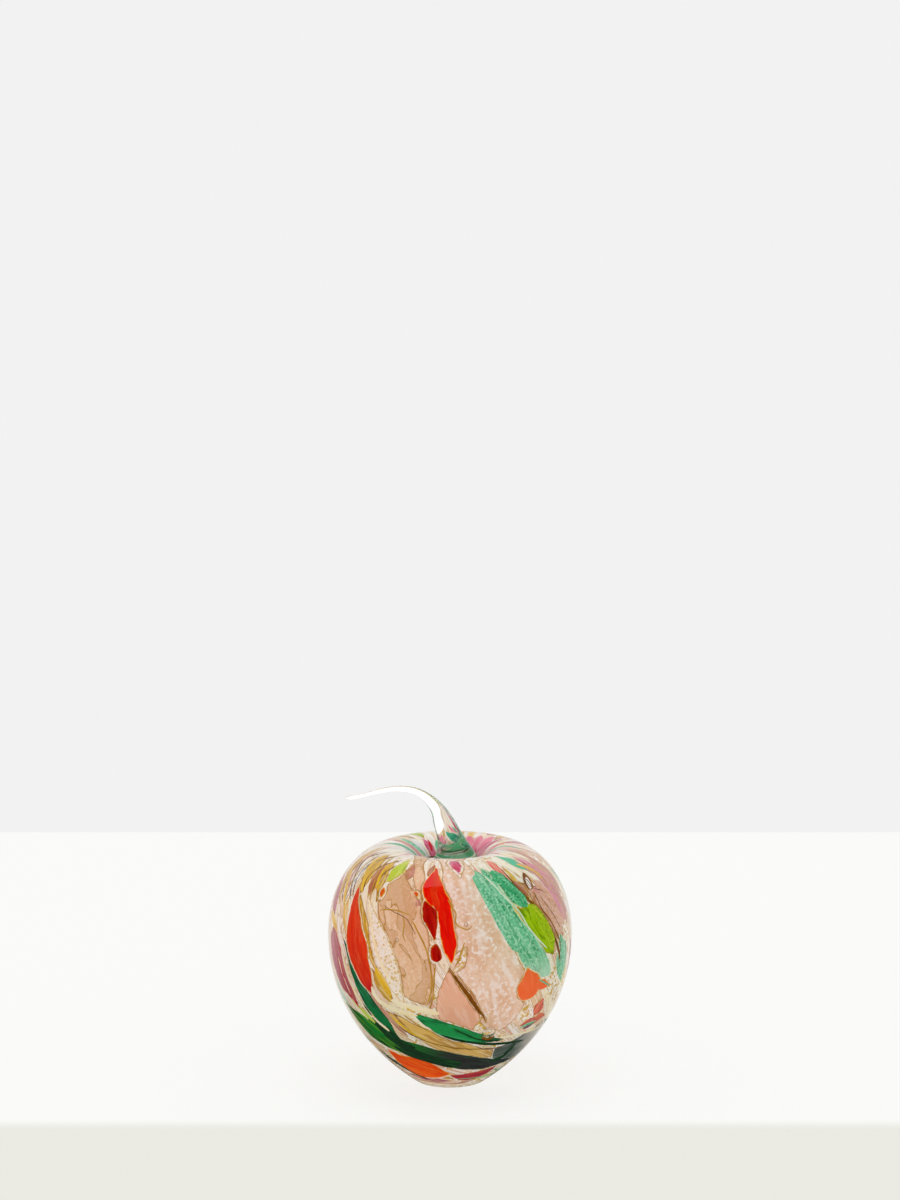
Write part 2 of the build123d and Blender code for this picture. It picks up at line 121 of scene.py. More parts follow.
class Recipe:
    """A node tree that is put together node by node.

    A band is two values: a tone begins at the first and is full at the second.
    """

    # How often a flake's edge wanders within its own size, and how far, as a multiple of that size.
    flake_wander = 0.9
    flake_reach = 1.6

    def __init__(self, tree: bpy.types.NodeTree) -> None:
        """Start from an empty tree."""
        self.tree = tree
        self.tree.nodes.clear()

    def add(
        self, kind: str, inputs: dict[str | int, object] | None = None, **settings: object
    ) -> bpy.types.Node:
        """Add one node with its settings and links.

        Args:
            kind: The node's type, without its ShaderNode prefix.
            inputs: A plain value, or a socket to link from, for each input named or numbered.
            settings: The node's own properties.

        Returns:
            The new node.
        """
        node = self.tree.nodes.new("ShaderNode" + kind)
        for name, value in settings.items():
            setattr(node, name, value)
        for key, value in (inputs or {}).items():
            if isinstance(value, Socket):
                self.tree.links.new(value, node.inputs[key])
            else:
                node.inputs[key].default_value = value
        return node

    def stain(
        self, colour: Socket | Colour, tone: Colour, where: Socket, band: Band, share: Value = 1.0
    ) -> Socket:
        """Lay a tone over a colour, softly.

        Args:
            colour: The colour so far.
            tone: What is laid over it.
            where: A value that tells where.
            band: The values at which the tone begins and is full.
            share: How much of the colour it then hides.

        Returns:
            The stained colour.
        """
        inputs = {"Value": where, "From Min": band[0], "From Max": band[1], "To Max": share}
        amount = self.add("MapRange", inputs, interpolation_type="SMOOTHSTEP").outputs[0]
        inputs = {MIX_FACTOR: amount, MIX_FIRST: colour, MIX_SECOND: tone}
        return self.add("Mix", inputs, data_type="RGBA").outputs[MIX_RESULT]

    def seam(
        self, colour: Socket, tone: Colour, clouds: Socket, line: tuple[float, float], share: float
    ) -> Socket:
        """Draw a fine line of a tone where clouds pass a level.

        Args:
            colour: The colour so far.
            tone: The line's tone.
            clouds: The cloudy value.
            line: The level at which the line runs, and how far from it the line still shows.
            share: How much of the colour it hides.

        Returns:
            The colour with its line.
        """
        level, width = line
        above = self.add("Math", {0: clouds, 1: level}, operation="SUBTRACT").outputs[0]
        away = self.add("Math", {0: above}, operation="ABSOLUTE").outputs[0]
        return self.stain(colour, tone, away, (width, 0.0), share)

    def clouds(
        self,
        place: Socket,
        size: Triple,
        detail: float = 3.0,
        bend: float = 0.0,
        shift: Socket | Triple = (0, 0, 0),
    ) -> Socket:
        """Cloudy values about a half.

        Args:
            place: Where each value is.
            size: How large a cloud is along the three directions.
            detail: How many times finer clouds are added.
            bend: How far the clouds are drawn about.
            shift: What sets these clouds apart from others.

        Returns:
            The values.
        """
        inputs = {0: place, 1: tuple(1 / part for part in size), 2: shift}
        spot = self.add("VectorMath", inputs, operation="MULTIPLY_ADD").outputs[0]
        inputs = {"Vector": spot, "Scale": 1.0, "Detail": detail, "Distortion": bend}
        return self.add("TexNoise", inputs).outputs["Fac"]

    def ragged(self, place: Socket, scale: float, reach: float) -> Socket:
        """A place that is moved about unevenly.

        Args:
            place: The place.
            scale: How often it is moved about in a length of 1.
            reach: How far.

        Returns:
            The moved place.
        """
        shift = self.add("TexNoise", {"Vector": place, "Scale": scale}).outputs["Color"]
        inputs = {0: shift, 1: (reach, reach, reach), 2: place}
        return self.add("VectorMath", inputs, operation="MULTIPLY_ADD").outputs[0]

    def flakes(self, place: Socket, size: float) -> list[Socket]:
        """Three random values for each ragged flake.

        Args:
            place: Where each value is.
            size: How large a flake is.

        Returns:
            The values.
        """
        spot = self.ragged(place, self.flake_wander / size, self.flake_reach * size)
        cells = self.add("TexVoronoi", {"Vector": spot, "Scale": 1 / size}).outputs["Color"]
        return list(self.add("SeparateColor", {0: cells}).outputs)

    def opaque(self, colour: Socket, roughness: float) -> None:
        """End the tree in opaque glass under the casing, which has no glint of its own.

        Args:
            colour: The glass's colour.
            roughness: The glass's roughness.
        """
        inputs = {"Base Color": colour, "Roughness": roughness, "Specular IOR Level": 0.0}
        glass = self.add("BsdfPrincipled", inputs)
        self.add("OutputMaterial", {"Surface": glass.outputs[0]})


def new_material(name: str) -> tuple[bpy.types.Material, Recipe]:
    """Make an empty material.

    Args:
        name: The material's name.

    Returns:
        The material and the recipe of its node tree.
    """
    material = bpy.data.materials.new(name)
    material.use_nodes = True
    return material, Recipe(material.node_tree)


class Finish:
    """What one kind of glass looks like."""

    def paint(self, recipe: Recipe) -> None:
        """Put the material together, which each kind of glass does in its own way."""
        raise NotImplementedError

    def dress(self, name: str) -> bpy.types.Material:
        """Make the material.

        Args:
            name: What the material is called.

        Returns:
            The material.
        """
        material, recipe = new_material(name)
        self.paint(recipe)
        return material


class Grain(Enum):
    """How the colour is spread inside a piece of glass."""

    STREAKED = "streaked"
    MOTTLED = "mottled"
    MICA = "mica"


@dataclass(frozen=True)
class ChipGlass(Finish):
    """Opaque coloured soda glass, rolled hot: its colour is drawn out in streaks along the chip, and its
    edge, thinned and stained by the ground, shows as an amber line.

    Colours are as seen through the casing. Sizes are in millimetres, a run is a length as a multiple of the
    width, and broad and fine sizes are multiples of a streak's. Bands and lines are levels of the clouds,
    tip and side bands are millimetres from the chip's middle, and shares say how much is hidden.
    """

    body: str
    deep: str
    pale: str
    rim: str = "#B98A3A"
    rim_width: float = 0.5
    rim_wave: float = 2.2
    rim_share: float = 0.95
    streak: float = 1.1
    run: float = 9.0
    broad_size: tuple[float, float] = (2.6, 1.3)
    broad_band: Band = (0.45, 0.6)
    deep_share: float = 0.7
    narrow_band: Band = (0.5, 0.64)
    pale_share: float = 0.6
    fine_size: float = 0.77
    fine_line: tuple[float, float] = (0.46, 0.022)
    line_share: float = 0.6
    fold: float = 0.0
    fold_run: float = 2.4
    fold_band: Band = (0.49, 0.53)
    fold_share: float = 0.55
    fold_tone: str = "#8E6326"
    fold_line: tuple[float, float] = (0.51, 0.016)
    fold_line_share: float = 0.9
    grain: Grain = Grain.STREAKED
    grain_size: float = 0.9
    grain_share: float = 0.85
    dull_band: Band = (0.62, 0.76)
    # Painted glints: the level at which mica flakes turn pale.
    glint_band: Band = (0.5, 0.64)
    milky_band: Band = (0.51, 0.65)
    clear_band: Band = (0.42, 0.28)
    tip: str = ""
    tip_band: Band = (0.0, 1.0)
    side: str = ""
    side_band: Band = (0.0, 1.0)
    end_share: float = 0.9
    roughness: float = 0.4

    def paint(self, recipe: Recipe) -> None:
        """Put the material together.

        Args:
            recipe: The material's recipe.
        """
        leaf = recipe.add("Attribute", attribute_name="leaf").outputs["Vector"]
        cast = recipe.add("Attribute", attribute_name="cast").outputs["Vector"]
        across, along, edge = recipe.add("SeparateXYZ", {0: leaf}).outputs
        colour = self.streaked(recipe, leaf, cast)
        colour = self.grained(recipe, colour)
        if self.fold:
            colour = self.folded(recipe, colour, leaf, cast)
        for tone, where, band in ((self.side, across, self.side_band), (self.tip, along, self.tip_band)):
            if tone:
                colour = recipe.stain(colour, CASING_LIGHT.bare(tone), where, band, self.end_share)
        recipe.opaque(self.edged(recipe, colour, edge), self.roughness)

    def streaked(self, recipe: Recipe, leaf: Socket, cast: Socket) -> Socket:
        """Draw deep and pale streaks along the chip.

        Args:
            recipe: The material's recipe.
            leaf: The place on the chip in millimetres.
            cast: What sets each chip apart.

        Returns:
            The streaked colour.
        """
        body, deep, pale = (CASING_LIGHT.bare(tone) for tone in (self.body, self.deep, self.pale))
        width, length = self.streak, self.streak * self.run
        size = (self.broad_size[0] * width, self.broad_size[1] * length, math.inf)
        broad = recipe.clouds(leaf, size, detail=3.0, bend=0.5, shift=cast)
        colour = recipe.stain(body, deep, broad, self.broad_band, self.deep_share)
        narrow = recipe.clouds(leaf, (width, length, math.inf), detail=5.0, bend=0.6, shift=cast)
        colour = recipe.stain(colour, pale, narrow, self.narrow_band, self.pale_share)
        size = (self.fine_size * width, self.fine_size * length, math.inf)
        fine = recipe.clouds(leaf, size, detail=3.0, bend=0.9, shift=cast)
        return recipe.seam(colour, deep, fine, self.fine_line, self.line_share)

    def folded(self, recipe: Recipe, colour: Socket, leaf: Socket, cast: Socket) -> Socket:
        """Show where the soft glass folded over itself, as a step of tone with an amber line along it.

        Args:
            recipe: The material's recipe.
            colour: The colour so far.
            leaf: The place on the chip in millimetres.
            cast: What sets each chip apart.

        Returns:
            The folded colour.
        """
        size = (self.fold, self.fold_run * self.fold, math.inf)
        wave = recipe.clouds(leaf, size, detail=2.0, bend=0.6, shift=cast)
        colour = recipe.stain(colour, CASING_LIGHT.bare(self.deep), wave, self.fold_band, self.fold_share)
        tone = CASING_LIGHT.bare(self.fold_tone)
        return recipe.seam(colour, tone, wave, self.fold_line, self.fold_line_share)

    def grained(self, recipe: Recipe, colour: Socket) -> Socket:
        """Lay milky grains or flakes of mica over the streaks; the bright mica flakes are painted glints.

        Args:
            recipe: The material's recipe.
            colour: The colour so far.

        Returns:
            The colour with its grain.
        """
        place = recipe.add("TexCoord").outputs["Object"]
        size = self.grain_size * MM
        deep, pale = CASING_LIGHT.bare(self.deep), CASING_LIGHT.bare(self.pale)
        if self.grain is Grain.MICA:
            dull, bright, _ = recipe.flakes(place, size)
            colour = recipe.stain(colour, deep, dull, self.dull_band, self.grain_share)
            # Painted glints: some flakes are lit up in the pale tone, as mica catching the light.
            colour = recipe.stain(colour, pale, bright, self.glint_band, self.grain_share)
        elif self.grain is Grain.MOTTLED:
            mottle = recipe.clouds(place, (size, size, size), detail=6.0, bend=0.4)
            colour = recipe.stain(colour, pale, mottle, self.milky_band, self.grain_share)
            colour = recipe.stain(colour, deep, mottle, self.clear_band, self.grain_share)
        return colour

    def edged(self, recipe: Recipe, colour: Socket, edge: Socket) -> Socket:
        """Stain the edge of the chip, in a line of uneven width.

        Args:
            recipe: The material's recipe.
            colour: The colour so far.
            edge: Distance from the chip's edge.

        Returns:
            The colour with its rim.
        """
        place = recipe.add("TexCoord").outputs["Object"]
        size = self.rim_wave * MM
        wave = recipe.clouds(place, (size, size, size), detail=2.0)
        square = recipe.add("Math", {0: wave, 1: wave}, operation="MULTIPLY").outputs[0]
        # Clouds lie about a half, so four times their square lies about one.
        width = recipe.add("Math", {0: square, 1: 4 * self.rim_width}, operation="MULTIPLY").outputs[0]
        return recipe.stain(colour, CASING_LIGHT.bare(self.rim), edge, (width, 0.0), self.rim_share)


@dataclass(frozen=True)
class GroundGlass(Finish):
    """Opaque ivory glass with gold and mica in it, spread thin over the gather and swirled with it: cream,
    with smears of tan, rose and gold between amber lines, and crackled gold flakes among white ones that
    are painted glints.

    Colours are as seen through the casing. Sizes are in millimetres, a run is a length as a multiple of the
    width, and the veil's size is a multiple of a streak's. Bands and lines are levels of the clouds, the
    deep band is a rise, and shares say how much is hidden.
    """

    ivory: str = "#FAF2DC"
    smears: tuple[str, ...] = (
        "#FAF2DC", "#FFFCF4", "#DDB08A", "#F6E6B4", "#D9A53E",
        "#FDF8EC", "#E6C4AC", "#F8ECCB", "#C98F7A", "#FFFDF8",
    )
    smear_width: float = 5.5
    smear_run: float = 5.0
    smear_raggedness: tuple[float, float] = (1.6, 0.5)
    line: str = "#9A6C22"
    line_band: Band = (0.1, 0.05)
    line_share: float = 0.8
    vein_band: Band = (0.05, 0.02)
    streak: float = 1.3
    run: float = 14.0
    veil_size: float = 1.4
    veil_band: Band = (0.5, 0.62)
    veil_share: float = 0.75
    streak_line: tuple[float, float] = (0.45, 0.018)
    streak_share: float = 0.75
    thread: str = "#6E4424"
    thread_line: tuple[float, float] = (0.6, 0.012)
    thread_share: float = 0.7
    fleck: str = "#B28A3C"
    # Painted glints: white flakes that stand for mica catching the light.
    glint: str = "#FFFFFF"
    fleck_size: float = 0.9
    fleck_band: Band = (0.7, 0.76)
    patch_size: float = 11.0
    patch_from: float = 0.48
    patch_slope: float = 10.0
    deep: str = "#008048"
    deep_band: Band = (0.868, 0.885)
    deep_share: float = 0.9
    roughness: float = 0.4

    def smeared(self, recipe: Recipe, swirl: Socket) -> Socket:
        """Lay smears of several tones side by side, with an ivory vein and an amber line between them.

        Args:
            recipe: The material's recipe.
            swirl: The place along the swirl in millimetres.

        Returns:
            The smeared colour.
        """
        across, along = 1 / self.smear_width, 1 / (self.smear_width * self.smear_run)
        inputs = {0: swirl, 1: (across, across, along)}
        place = recipe.add("VectorMath", inputs, operation="MULTIPLY").outputs[0]
        spot = recipe.ragged(place, *self.smear_raggedness)
        cells = recipe.add("TexVoronoi", {"Vector": spot, "Scale": 1.0}).outputs["Color"]
        tones = recipe.add("ValToRGB", {0: recipe.add("SeparateColor", {0: cells}).outputs[0]})
        tones.color_ramp.interpolation = "CONSTANT"
        stops = tones.color_ramp.elements
        while len(stops) < len(self.smears):
            stops.new(1.0)
        for index, tone in enumerate(self.smears):
            stops[index].position = index / len(self.smears)
            stops[index].color = CASING_LIGHT.bare(tone)
        inputs = {"Vector": spot, "Scale": 1.0}
        edge = recipe.add("TexVoronoi", inputs, feature="DISTANCE_TO_EDGE").outputs[0]
        line, ivory = CASING_LIGHT.bare(self.line), CASING_LIGHT.bare(self.ivory)
        colour = recipe.stain(tones.outputs[0], line, edge, self.line_band, self.line_share)
        return recipe.stain(colour, ivory, edge, self.vein_band)

    def flecked(self, recipe: Recipe, colour: Socket) -> Socket:
        """Scatter dull gold flakes, and white flakes that are painted glints, in patches.

        Args:
            recipe: The material's recipe.
            colour: The colour so far.

        Returns:
            The colour with its flakes.
        """
        place = recipe.add("TexCoord").outputs["Object"]
        size = self.patch_size * MM
        clouds = recipe.clouds(place, (size, size, size), detail=1.0)
        inputs = {0: clouds, 1: self.patch_slope, 2: -self.patch_slope * self.patch_from}
        patch = recipe.add("Math", inputs, operation="MULTIPLY_ADD", use_clamp=True).outputs[0]
        dull, bright, _ = recipe.flakes(place, self.fleck_size * MM)
        colour = recipe.stain(colour, CASING_LIGHT.bare(self.fleck), dull, self.fleck_band, patch)
        # Painted glints: white flakes laid over the gold ones.
        return recipe.stain(colour, CASING_LIGHT.bare(self.glint), bright, self.fleck_band, patch)

    def paint(self, recipe: Recipe) -> None:
        """Put the material together.

        Args:
            recipe: The material's recipe.
        """
        swirl = recipe.add("Attribute", attribute_name="swirl").outputs["Vector"]
        rise = recipe.add("Attribute", attribute_name="rise").outputs["Fac"]
        ivory, line, thread, deep = (
            CASING_LIGHT.bare(tone) for tone in (self.ivory, self.line, self.thread, self.deep)
        )
        colour = self.smeared(recipe, swirl)
        broad = self.veil_size * self.streak
        veils = recipe.clouds(swirl, (broad, broad, broad * self.run), detail=3.0, bend=0.5)
        colour = recipe.stain(colour, ivory, veils, self.veil_band, self.veil_share)
        size = (self.streak, self.streak, self.streak * self.run)
        streaks = recipe.clouds(swirl, size, detail=2.0, bend=0.8)
        colour = recipe.seam(colour, line, streaks, self.streak_line, self.streak_share)
        colour = recipe.seam(colour, thread, streaks, self.thread_line, self.thread_share)
        colour = self.flecked(recipe, colour)
        colour = recipe.stain(colour, deep, rise, self.deep_band, self.deep_share)
        recipe.opaque(colour, self.roughness)


@dataclass(frozen=True)
class ClearCrystal(Finish):
    """Clear lead crystal, fire-polished: no colour of its own, a mirror-smooth skin, and a slow ripple that
    the tools left in it, which bends what is seen through it a little."""

    ior: float = 1.52
    ripple_size: Triple = (9.0, 9.0, 9.0)
    ripple_depth: float = 0.02

    def paint(self, recipe: Recipe) -> None:
        """Put the material together.

        Args:
            recipe: The material's recipe.
        """
        place = recipe.add("TexCoord").outputs["Object"]
        ripple = recipe.clouds(place, tuple(size * MM for size in self.ripple_size), detail=1.0)
        skin = recipe.add("Bump", {"Height": ripple, "Strength": 1.0, "Distance": self.ripple_depth * MM})
        inputs = {
            "Base Color": linear("#FFFFFF"),
            "Roughness": 0.0,
            "IOR": self.ior,
            "Transmission Weight": 1.0,
            "Normal": skin.outputs[0],
        }
        glass = recipe.add("BsdfPrincipled", inputs)
        recipe.add("OutputMaterial", {"Surface": glass.outputs[0]})


@dataclass(frozen=True)
class InnerGlass(Finish):
    """Glass of the hidden layers, gathered and blown: milky, with slow clouds where the gathers met."""

    body: str
    cloud: str
    cloud_size: float = 7.0
    cloud_band: Band = (0.2, 0.8)
    roughness: float = 0.3

    def paint(self, recipe: Recipe) -> None:
        """Put the material together.

        Args:
            recipe: The material's recipe.
        """
        place = recipe.add("TexCoord").outputs["Object"]
        size = self.cloud_size * MM
        clouds = recipe.clouds(place, (size, size, size))
        milky = recipe.stain(linear(self.body), linear(self.cloud), clouds, self.cloud_band)
        glass = recipe.add("BsdfPrincipled", {"Base Color": milky, "Roughness": self.roughness})
        recipe.add("OutputMaterial", {"Surface": glass.outputs[0]})


@dataclass(frozen=True)
class AppleOutline:
    """Half section of the apple: three curves from the base over the shoulder into the dimple."""

    body_radius: float = 45.0
    widest_height: float = 56.0
    shoulder_height: float = 89.0
    shoulder_radius: float = 21.0
    dimple_floor: float = 77.0
    base_radius: float = 12.5
    flank_angle: float = 34.0
    base_sweep: float = 21.0
    lower_sweep: float = 26.0
    upper_sweep: float = 18.5
    shoulder_sweep: float = 13.5
    lip_sweep: float = 9.0
    floor_sweep: float = 8.0
    dimple_ease: float = 0.4
    steps: int = 140

    def controls(self, inset: float) -> list[np.ndarray]:
        """Control points of the three curves.

        Args:
            inset: How far in from the outside.

        Returns:
            Four points of radius and height for each curve.
        """
        angle = math.radians(self.flank_angle)
        radius = self.body_radius - inset
        base = self.base_radius - inset * math.tan(angle / 2)
        lip = self.shoulder_height - inset
        floor = self.dimple_floor - inset
        flank = self.base_sweep * (radius - base) / (self.body_radius - self.base_radius)
        lower = self.lower_sweep * (self.widest_height - inset) / self.widest_height
        upper = self.upper_sweep * (lip - self.widest_height) / (self.shoulder_height - self.widest_height)
        shoulder = self.shoulder_sweep * (radius - self.shoulder_radius)
        shoulder /= self.body_radius - self.shoulder_radius
        ease = self.dimple_ease * inset
        widest = (radius, self.widest_height)
        top = (self.shoulder_radius, lip)
        out_of_base = (base + flank * math.cos(angle), inset + flank * math.sin(angle))
        over_lip = (self.shoulder_radius - self.lip_sweep + ease, lip)
        rows = [
            ((base, inset), out_of_base, (radius, self.widest_height - lower), widest),
            (widest, (radius, self.widest_height + upper), (self.shoulder_radius + shoulder, lip), top),
            (top, over_lip, (self.floor_sweep + ease, floor), (0, floor)),
        ]
        return [np.array(row, float) for row in rows]

    def curve(self, inset: float) -> np.ndarray:
        """Points of the wall from the edge of the base to the middle of the dimple.

        Args:
            inset: How far in from the outside.

        Returns:
            Rows of radius and height.
        """
        share = np.linspace(0, 1, self.steps)[:, None]
        rest = 1 - share
        curves = []
        for start, leave, arrive, end in self.controls(inset):
            bend = (
                rest**3 * start
                + 3 * rest**2 * share * leave
                + 3 * rest * share**2 * arrive
                + share**3 * end
            )
            curves.append(bend if not curves else bend[1:])
        return np.concatenate(curves)


class Wall:
    """The apple's wall at one depth, measured along its half section and round its axis."""

    # How many points are looked up at a time.
    batch = 4000

    def __init__(self, outline: AppleOutline, inset: float) -> None:
        """Measure the wall.

        Args:
            outline: The apple's half section.
            inset: How far in from the outside, in millimetres.
        """
        self.curve = outline.curve(inset)
        steps = np.linalg.norm(np.diff(self.curve, axis=0), axis=1)
        self.station = np.concatenate([[0.0], np.cumsum(steps)])
        self.length = float(self.station[-1])
        along = np.gradient(self.curve, self.station, axis=0)
        along /= np.linalg.norm(along, axis=1)[:, None]
        self.outward = np.stack([along[:, 1], -along[:, 0]], axis=1)

    def place(self, turn: np.ndarray, station: np.ndarray, lift: np.ndarray | float = 0.0) -> np.ndarray:
        """Points on the wall.

        Args:
            turn: Radians round the axis from the front, to the right.
            station: Millimetres up the wall.
            lift: Millimetres outward from the wall.

        Returns:
            Rows of x, y and z in millimetres.
        """
        radius = np.interp(station, self.station, self.curve[:, 0])
        radius = radius + lift * np.interp(station, self.station, self.outward[:, 0])
        height = np.interp(station, self.station, self.curve[:, 1])
        height = height + lift * np.interp(station, self.station, self.outward[:, 1])
        return np.stack([radius * np.sin(turn), -radius * np.cos(turn), height], axis=-1)

    def locate(self, points: np.ndarray) -> tuple[np.ndarray, np.ndarray, np.ndarray]:
        """Find points on the wall.

        Args:
            points: Rows of x, y and z in millimetres.

        Returns:
            The turn in radians, the station and the distance from the wall of each point.
        """
        turn = np.arctan2(points[:, 0], -points[:, 1])
        flat = np.stack([np.hypot(points[:, 0], points[:, 1]), points[:, 2]], axis=1)
        start = self.curve[:-1]
        step = np.diff(self.curve, axis=0)
        nearest = np.empty(len(flat), int)
        for begin in range(0, len(flat), self.batch):
            part = flat[begin : begin + self.batch, None, :] - self.curve[None]
            nearest[begin : begin + self.batch] = (part**2).sum(axis=2).argmin(axis=1)
        best = np.full(len(flat), np.inf)
        station = np.zeros(len(flat))
        for shift in (-1, 0):
            piece = np.clip(nearest + shift, 0, len(step) - 1)
            offset = flat - start[piece]
            share = np.clip((offset * step[piece]).sum(axis=1) / (step[piece] ** 2).sum(axis=1), 0, 1)
            gap = np.linalg.norm(offset - share[:, None] * step[piece], axis=1)
            span = self.station[piece + 1] - self.station[piece]
            better = gap < best
            station = np.where(better, self.station[piece] + share * span, station)
            best = np.minimum(best, gap)
        return turn, station, best

    def seat(self, turn: float, rise: float, lean: float = 0.0, lift: float = 0.0) -> Matrix:
        """A frame on the wall, its Z outward and its Y up the wall.

        Args:
            turn: Degrees round the axis.
            rise: Share of the way up the wall.
            lean: Degrees that its Y is turned to the left.
            lift: Millimetres outward from the wall.

        Returns:
            The frame as a matrix in millimetres.
        """
        angle = math.radians(turn)
        station = np.array([rise * self.length])
        place, above = (self.place(np.array([angle]), station, reach)[0] for reach in (lift, lift + 1))
        outward = Vector(above - place).normalized()
        level = Vector((math.cos(angle), math.sin(angle), 0))
        upward = outward.cross(level)
        across = level * math.cos(math.radians(lean)) + upward * math.sin(math.radians(lean))
        turned = Matrix((across, outward.cross(across), outward)).transposed().to_4x4()
        return Matrix.Translation(Vector(place)) @ turned


def shade(mesh: bpy.types.Mesh, crease: float) -> None:
    """Shade a mesh smooth, apart from edges that turn by more degrees than the crease."""
    mesh.polygons.foreach_set("use_smooth", [True] * len(mesh.polygons))
    mesh.set_sharp_from_angle(angle=math.radians(crease))


def new_piece(
    name: str,
    points: np.ndarray,
    faces: Faces | np.ndarray,
    material: bpy.types.Material,
    crease: float = 50.0,
) -> bpy.types.Object:
    """Make a mesh and put it in the scene.

    Args:
        name: The piece's name.
        points: Rows of x, y and z in millimetres.
        faces: Vertex numbers of each face.
        material: What it is made of.
        crease: Edges that turn by more degrees than this stay crisp.

    Returns:
        The new object.
    """
    mesh = bpy.data.meshes.new(name)
    mesh.from_pydata((np.asarray(points) * MM).tolist(), [], [tuple(map(int, face)) for face in faces])
    mesh.validate()
    shade(mesh, crease)
    mesh.materials.append(material)
    piece = bpy.data.objects.new(name, mesh)
    bpy.context.scene.collection.objects.link(piece)
    return piece


def mark(piece: bpy.types.Object, label: str, rows: np.ndarray) -> None:
    """Give each point of a piece a value that its finish can use.

    Args:
        piece: The piece.
        label: What the value is called.
        rows: A number, or a row of three, for each point.
    """
    kind, key = ("FLOAT_VECTOR", "vector") if rows.ndim == 2 else ("FLOAT", "value")
    attribute = piece.data.attributes.new(label, kind, "POINT")
    attribute.data.foreach_set(key, rows.astype(np.float32).ravel())


def smooth(knots: np.ndarray, steps: int) -> np.ndarray:
    """A smooth line through knots.

    Args:
        knots: Rows of numbers.
        steps: How many steps the line makes from knot to knot.

    Returns:
        The line's rows.
    """
    span = np.linalg.norm(np.diff(knots, axis=0), axis=1)
    slope = np.gradient(knots, np.concatenate([[0.0], np.cumsum(span)]), axis=0)
    share = np.linspace(0, 1, steps, endpoint=False)[:, None]
    ease = 3 * share**2 - 2 * share**3
    leave = share - 2 * share**2 + share**3
    arrive = share**3 - share**2
    rows = []
    for index, gap in enumerate(span):
        begin, end = knots[index], knots[index + 1]
        rows.append(begin + (end - begin) * ease + gap * (leave * slope[index] + arrive * slope[index + 1]))
    return np.concatenate([*rows, knots[-1:]])


def skin_faces(rows: int, sides: int) -> Faces:
    """Faces of a closed skin, whose points are rows of rings and then one point for each end.

    Args:
        rows: How many rings it has.
        sides: How many points a ring has.

    Returns:
        The faces.
    """
    top = (rows - 1) * sides
    low, high = rows * sides, rows * sides + 1
    faces: Faces = []
    for side in range(sides):
        after = (side + 1) % sides
        faces.append((low, after, side))
        for below in range(0, top, sides):
            above = below + sides
            faces.append((below + side, below + after, above + after, above + side))
        faces.append((top + side, top + after, high))
    return faces


def spin(profile: np.ndarray, sides: int) -> tuple[np.ndarray, Faces]:
    """Turn a half section round the axis into a closed skin.

    Args:
        profile: Rows of radius and height, from the axis below to the axis above.
        sides: How many sides the skin has.

    Returns:
        Its points and faces, which face outward.
    """
    angles = np.linspace(0, 2 * np.pi, sides, endpoint=False)
    rings = profile[1:-1]
    radius = rings[:, 0][:, None]
    height = np.repeat(rings[:, 1][:, None], sides, axis=1)
    skin = np.stack([radius * np.sin(angles), -radius * np.cos(angles), height], axis=-1).reshape(-1, 3)
    ends = [(0, 0, profile[0, 1]), (0, 0, profile[-1, 1])]
    return np.concatenate([skin, ends]), skin_faces(len(rings), sides)


@dataclass
class Casing:
    """The clear outer gather, with its ground base and the air that was trapped in it.

    A bubble is placed by its turn, its rise and how far it leans, a seed by its turn and its rise.
    """

    outline: AppleOutline
    seat_wall: Wall
    thickness: float = 4.0
    sides: int = 288
    crease: float = 60.0
    base_easing: float = 0.9
    easing_steps: int = 6
    flat_bubble: Triple = (22.5, 0.272, 0.0)
    flat_size: Triple = (2.6, 2.6, 0.6)
    long_bubble: Triple = (52.5, 0.687, 12.0)
    long_size: Triple = (0.8, 2.0, 0.35)
    seeds: tuple[Spot, ...] = ((-26.5, 0.55), (8, 0.6), (118, 0.5), (205, 0.66), (248, 0.4))
    seed_size: Triple = (0.7, 0.8, 0.6)
    bubble_sides: int = 32
    finish: ClearCrystal = ClearCrystal()

    def profile(self) -> np.ndarray:
        """Half section of the outside, with the edge of the ground base eased.

        Returns:
            Rows of radius and height, from the axis below to the axis above.
        """
        curve = self.outline.curve(0)
        corner = curve[0]
        reach = np.linalg.norm(curve - corner, axis=1)
        flank = curve[reach > self.base_easing]
        start = corner - (self.base_easing, 0)
        share = np.linspace(0, 1, self.easing_steps + 1)[:-1, None]
        eased = (1 - share) ** 2 * start + 2 * share * (1 - share) * corner + share**2 * flank[0]
        return np.concatenate([[(0, 0)], eased, flank])

    def bubble(self, seat: Matrix, size: Triple) -> tuple[np.ndarray, Faces]:
        """An air bubble, whose skin faces into the air.

        Args:
            seat: Its place and directions.
            size: Its half sizes along the three directions.

        Returns:
            Its points and faces.
        """
        angle = np.linspace(0, np.pi, self.bubble_sides // 2)
        points, faces = spin(np.stack([np.sin(angle), -np.cos(angle)], axis=1), self.bubble_sides)
        placed = [seat @ Vector(point * size) for point in points]
        return np.array([tuple(point) for point in placed]), [tuple(reversed(face)) for face in faces]

    def build(self) -> bpy.types.Object:
        """Make the casing's outer skin and the skins of its bubbles as one piece of glass.

        Returns:
            The piece.
        """
        points, faces = spin(self.profile(), self.sides)
        lift = self.thickness / 2
        bubbles = [
            (self.seat_wall.seat(*self.flat_bubble, lift), self.flat_size),
            (self.seat_wall.seat(*self.long_bubble, lift), self.long_size),
        ]
        bubbles += [(self.seat_wall.seat(turn, rise, 0, lift), self.seed_size) for turn, rise in self.seeds]
        for seat, size in bubbles:
            more, skins = self.bubble(seat, size)
            faces += [tuple(number + len(points) for number in face) for face in skins]
            points = np.concatenate([points, more])
        material = self.finish.dress("clear_crystal_fire_polished")
        piece = new_piece("crystal_casing", points, faces, material, self.crease)
        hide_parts("clear_casing")
        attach(piece, ROOT)
        return piece


@dataclass(frozen=True)
class Ring:
    """A round section of the stem: how far right it is, how high over the dimple's floor, how wide."""

    reach: float
    height: float
    radius: float


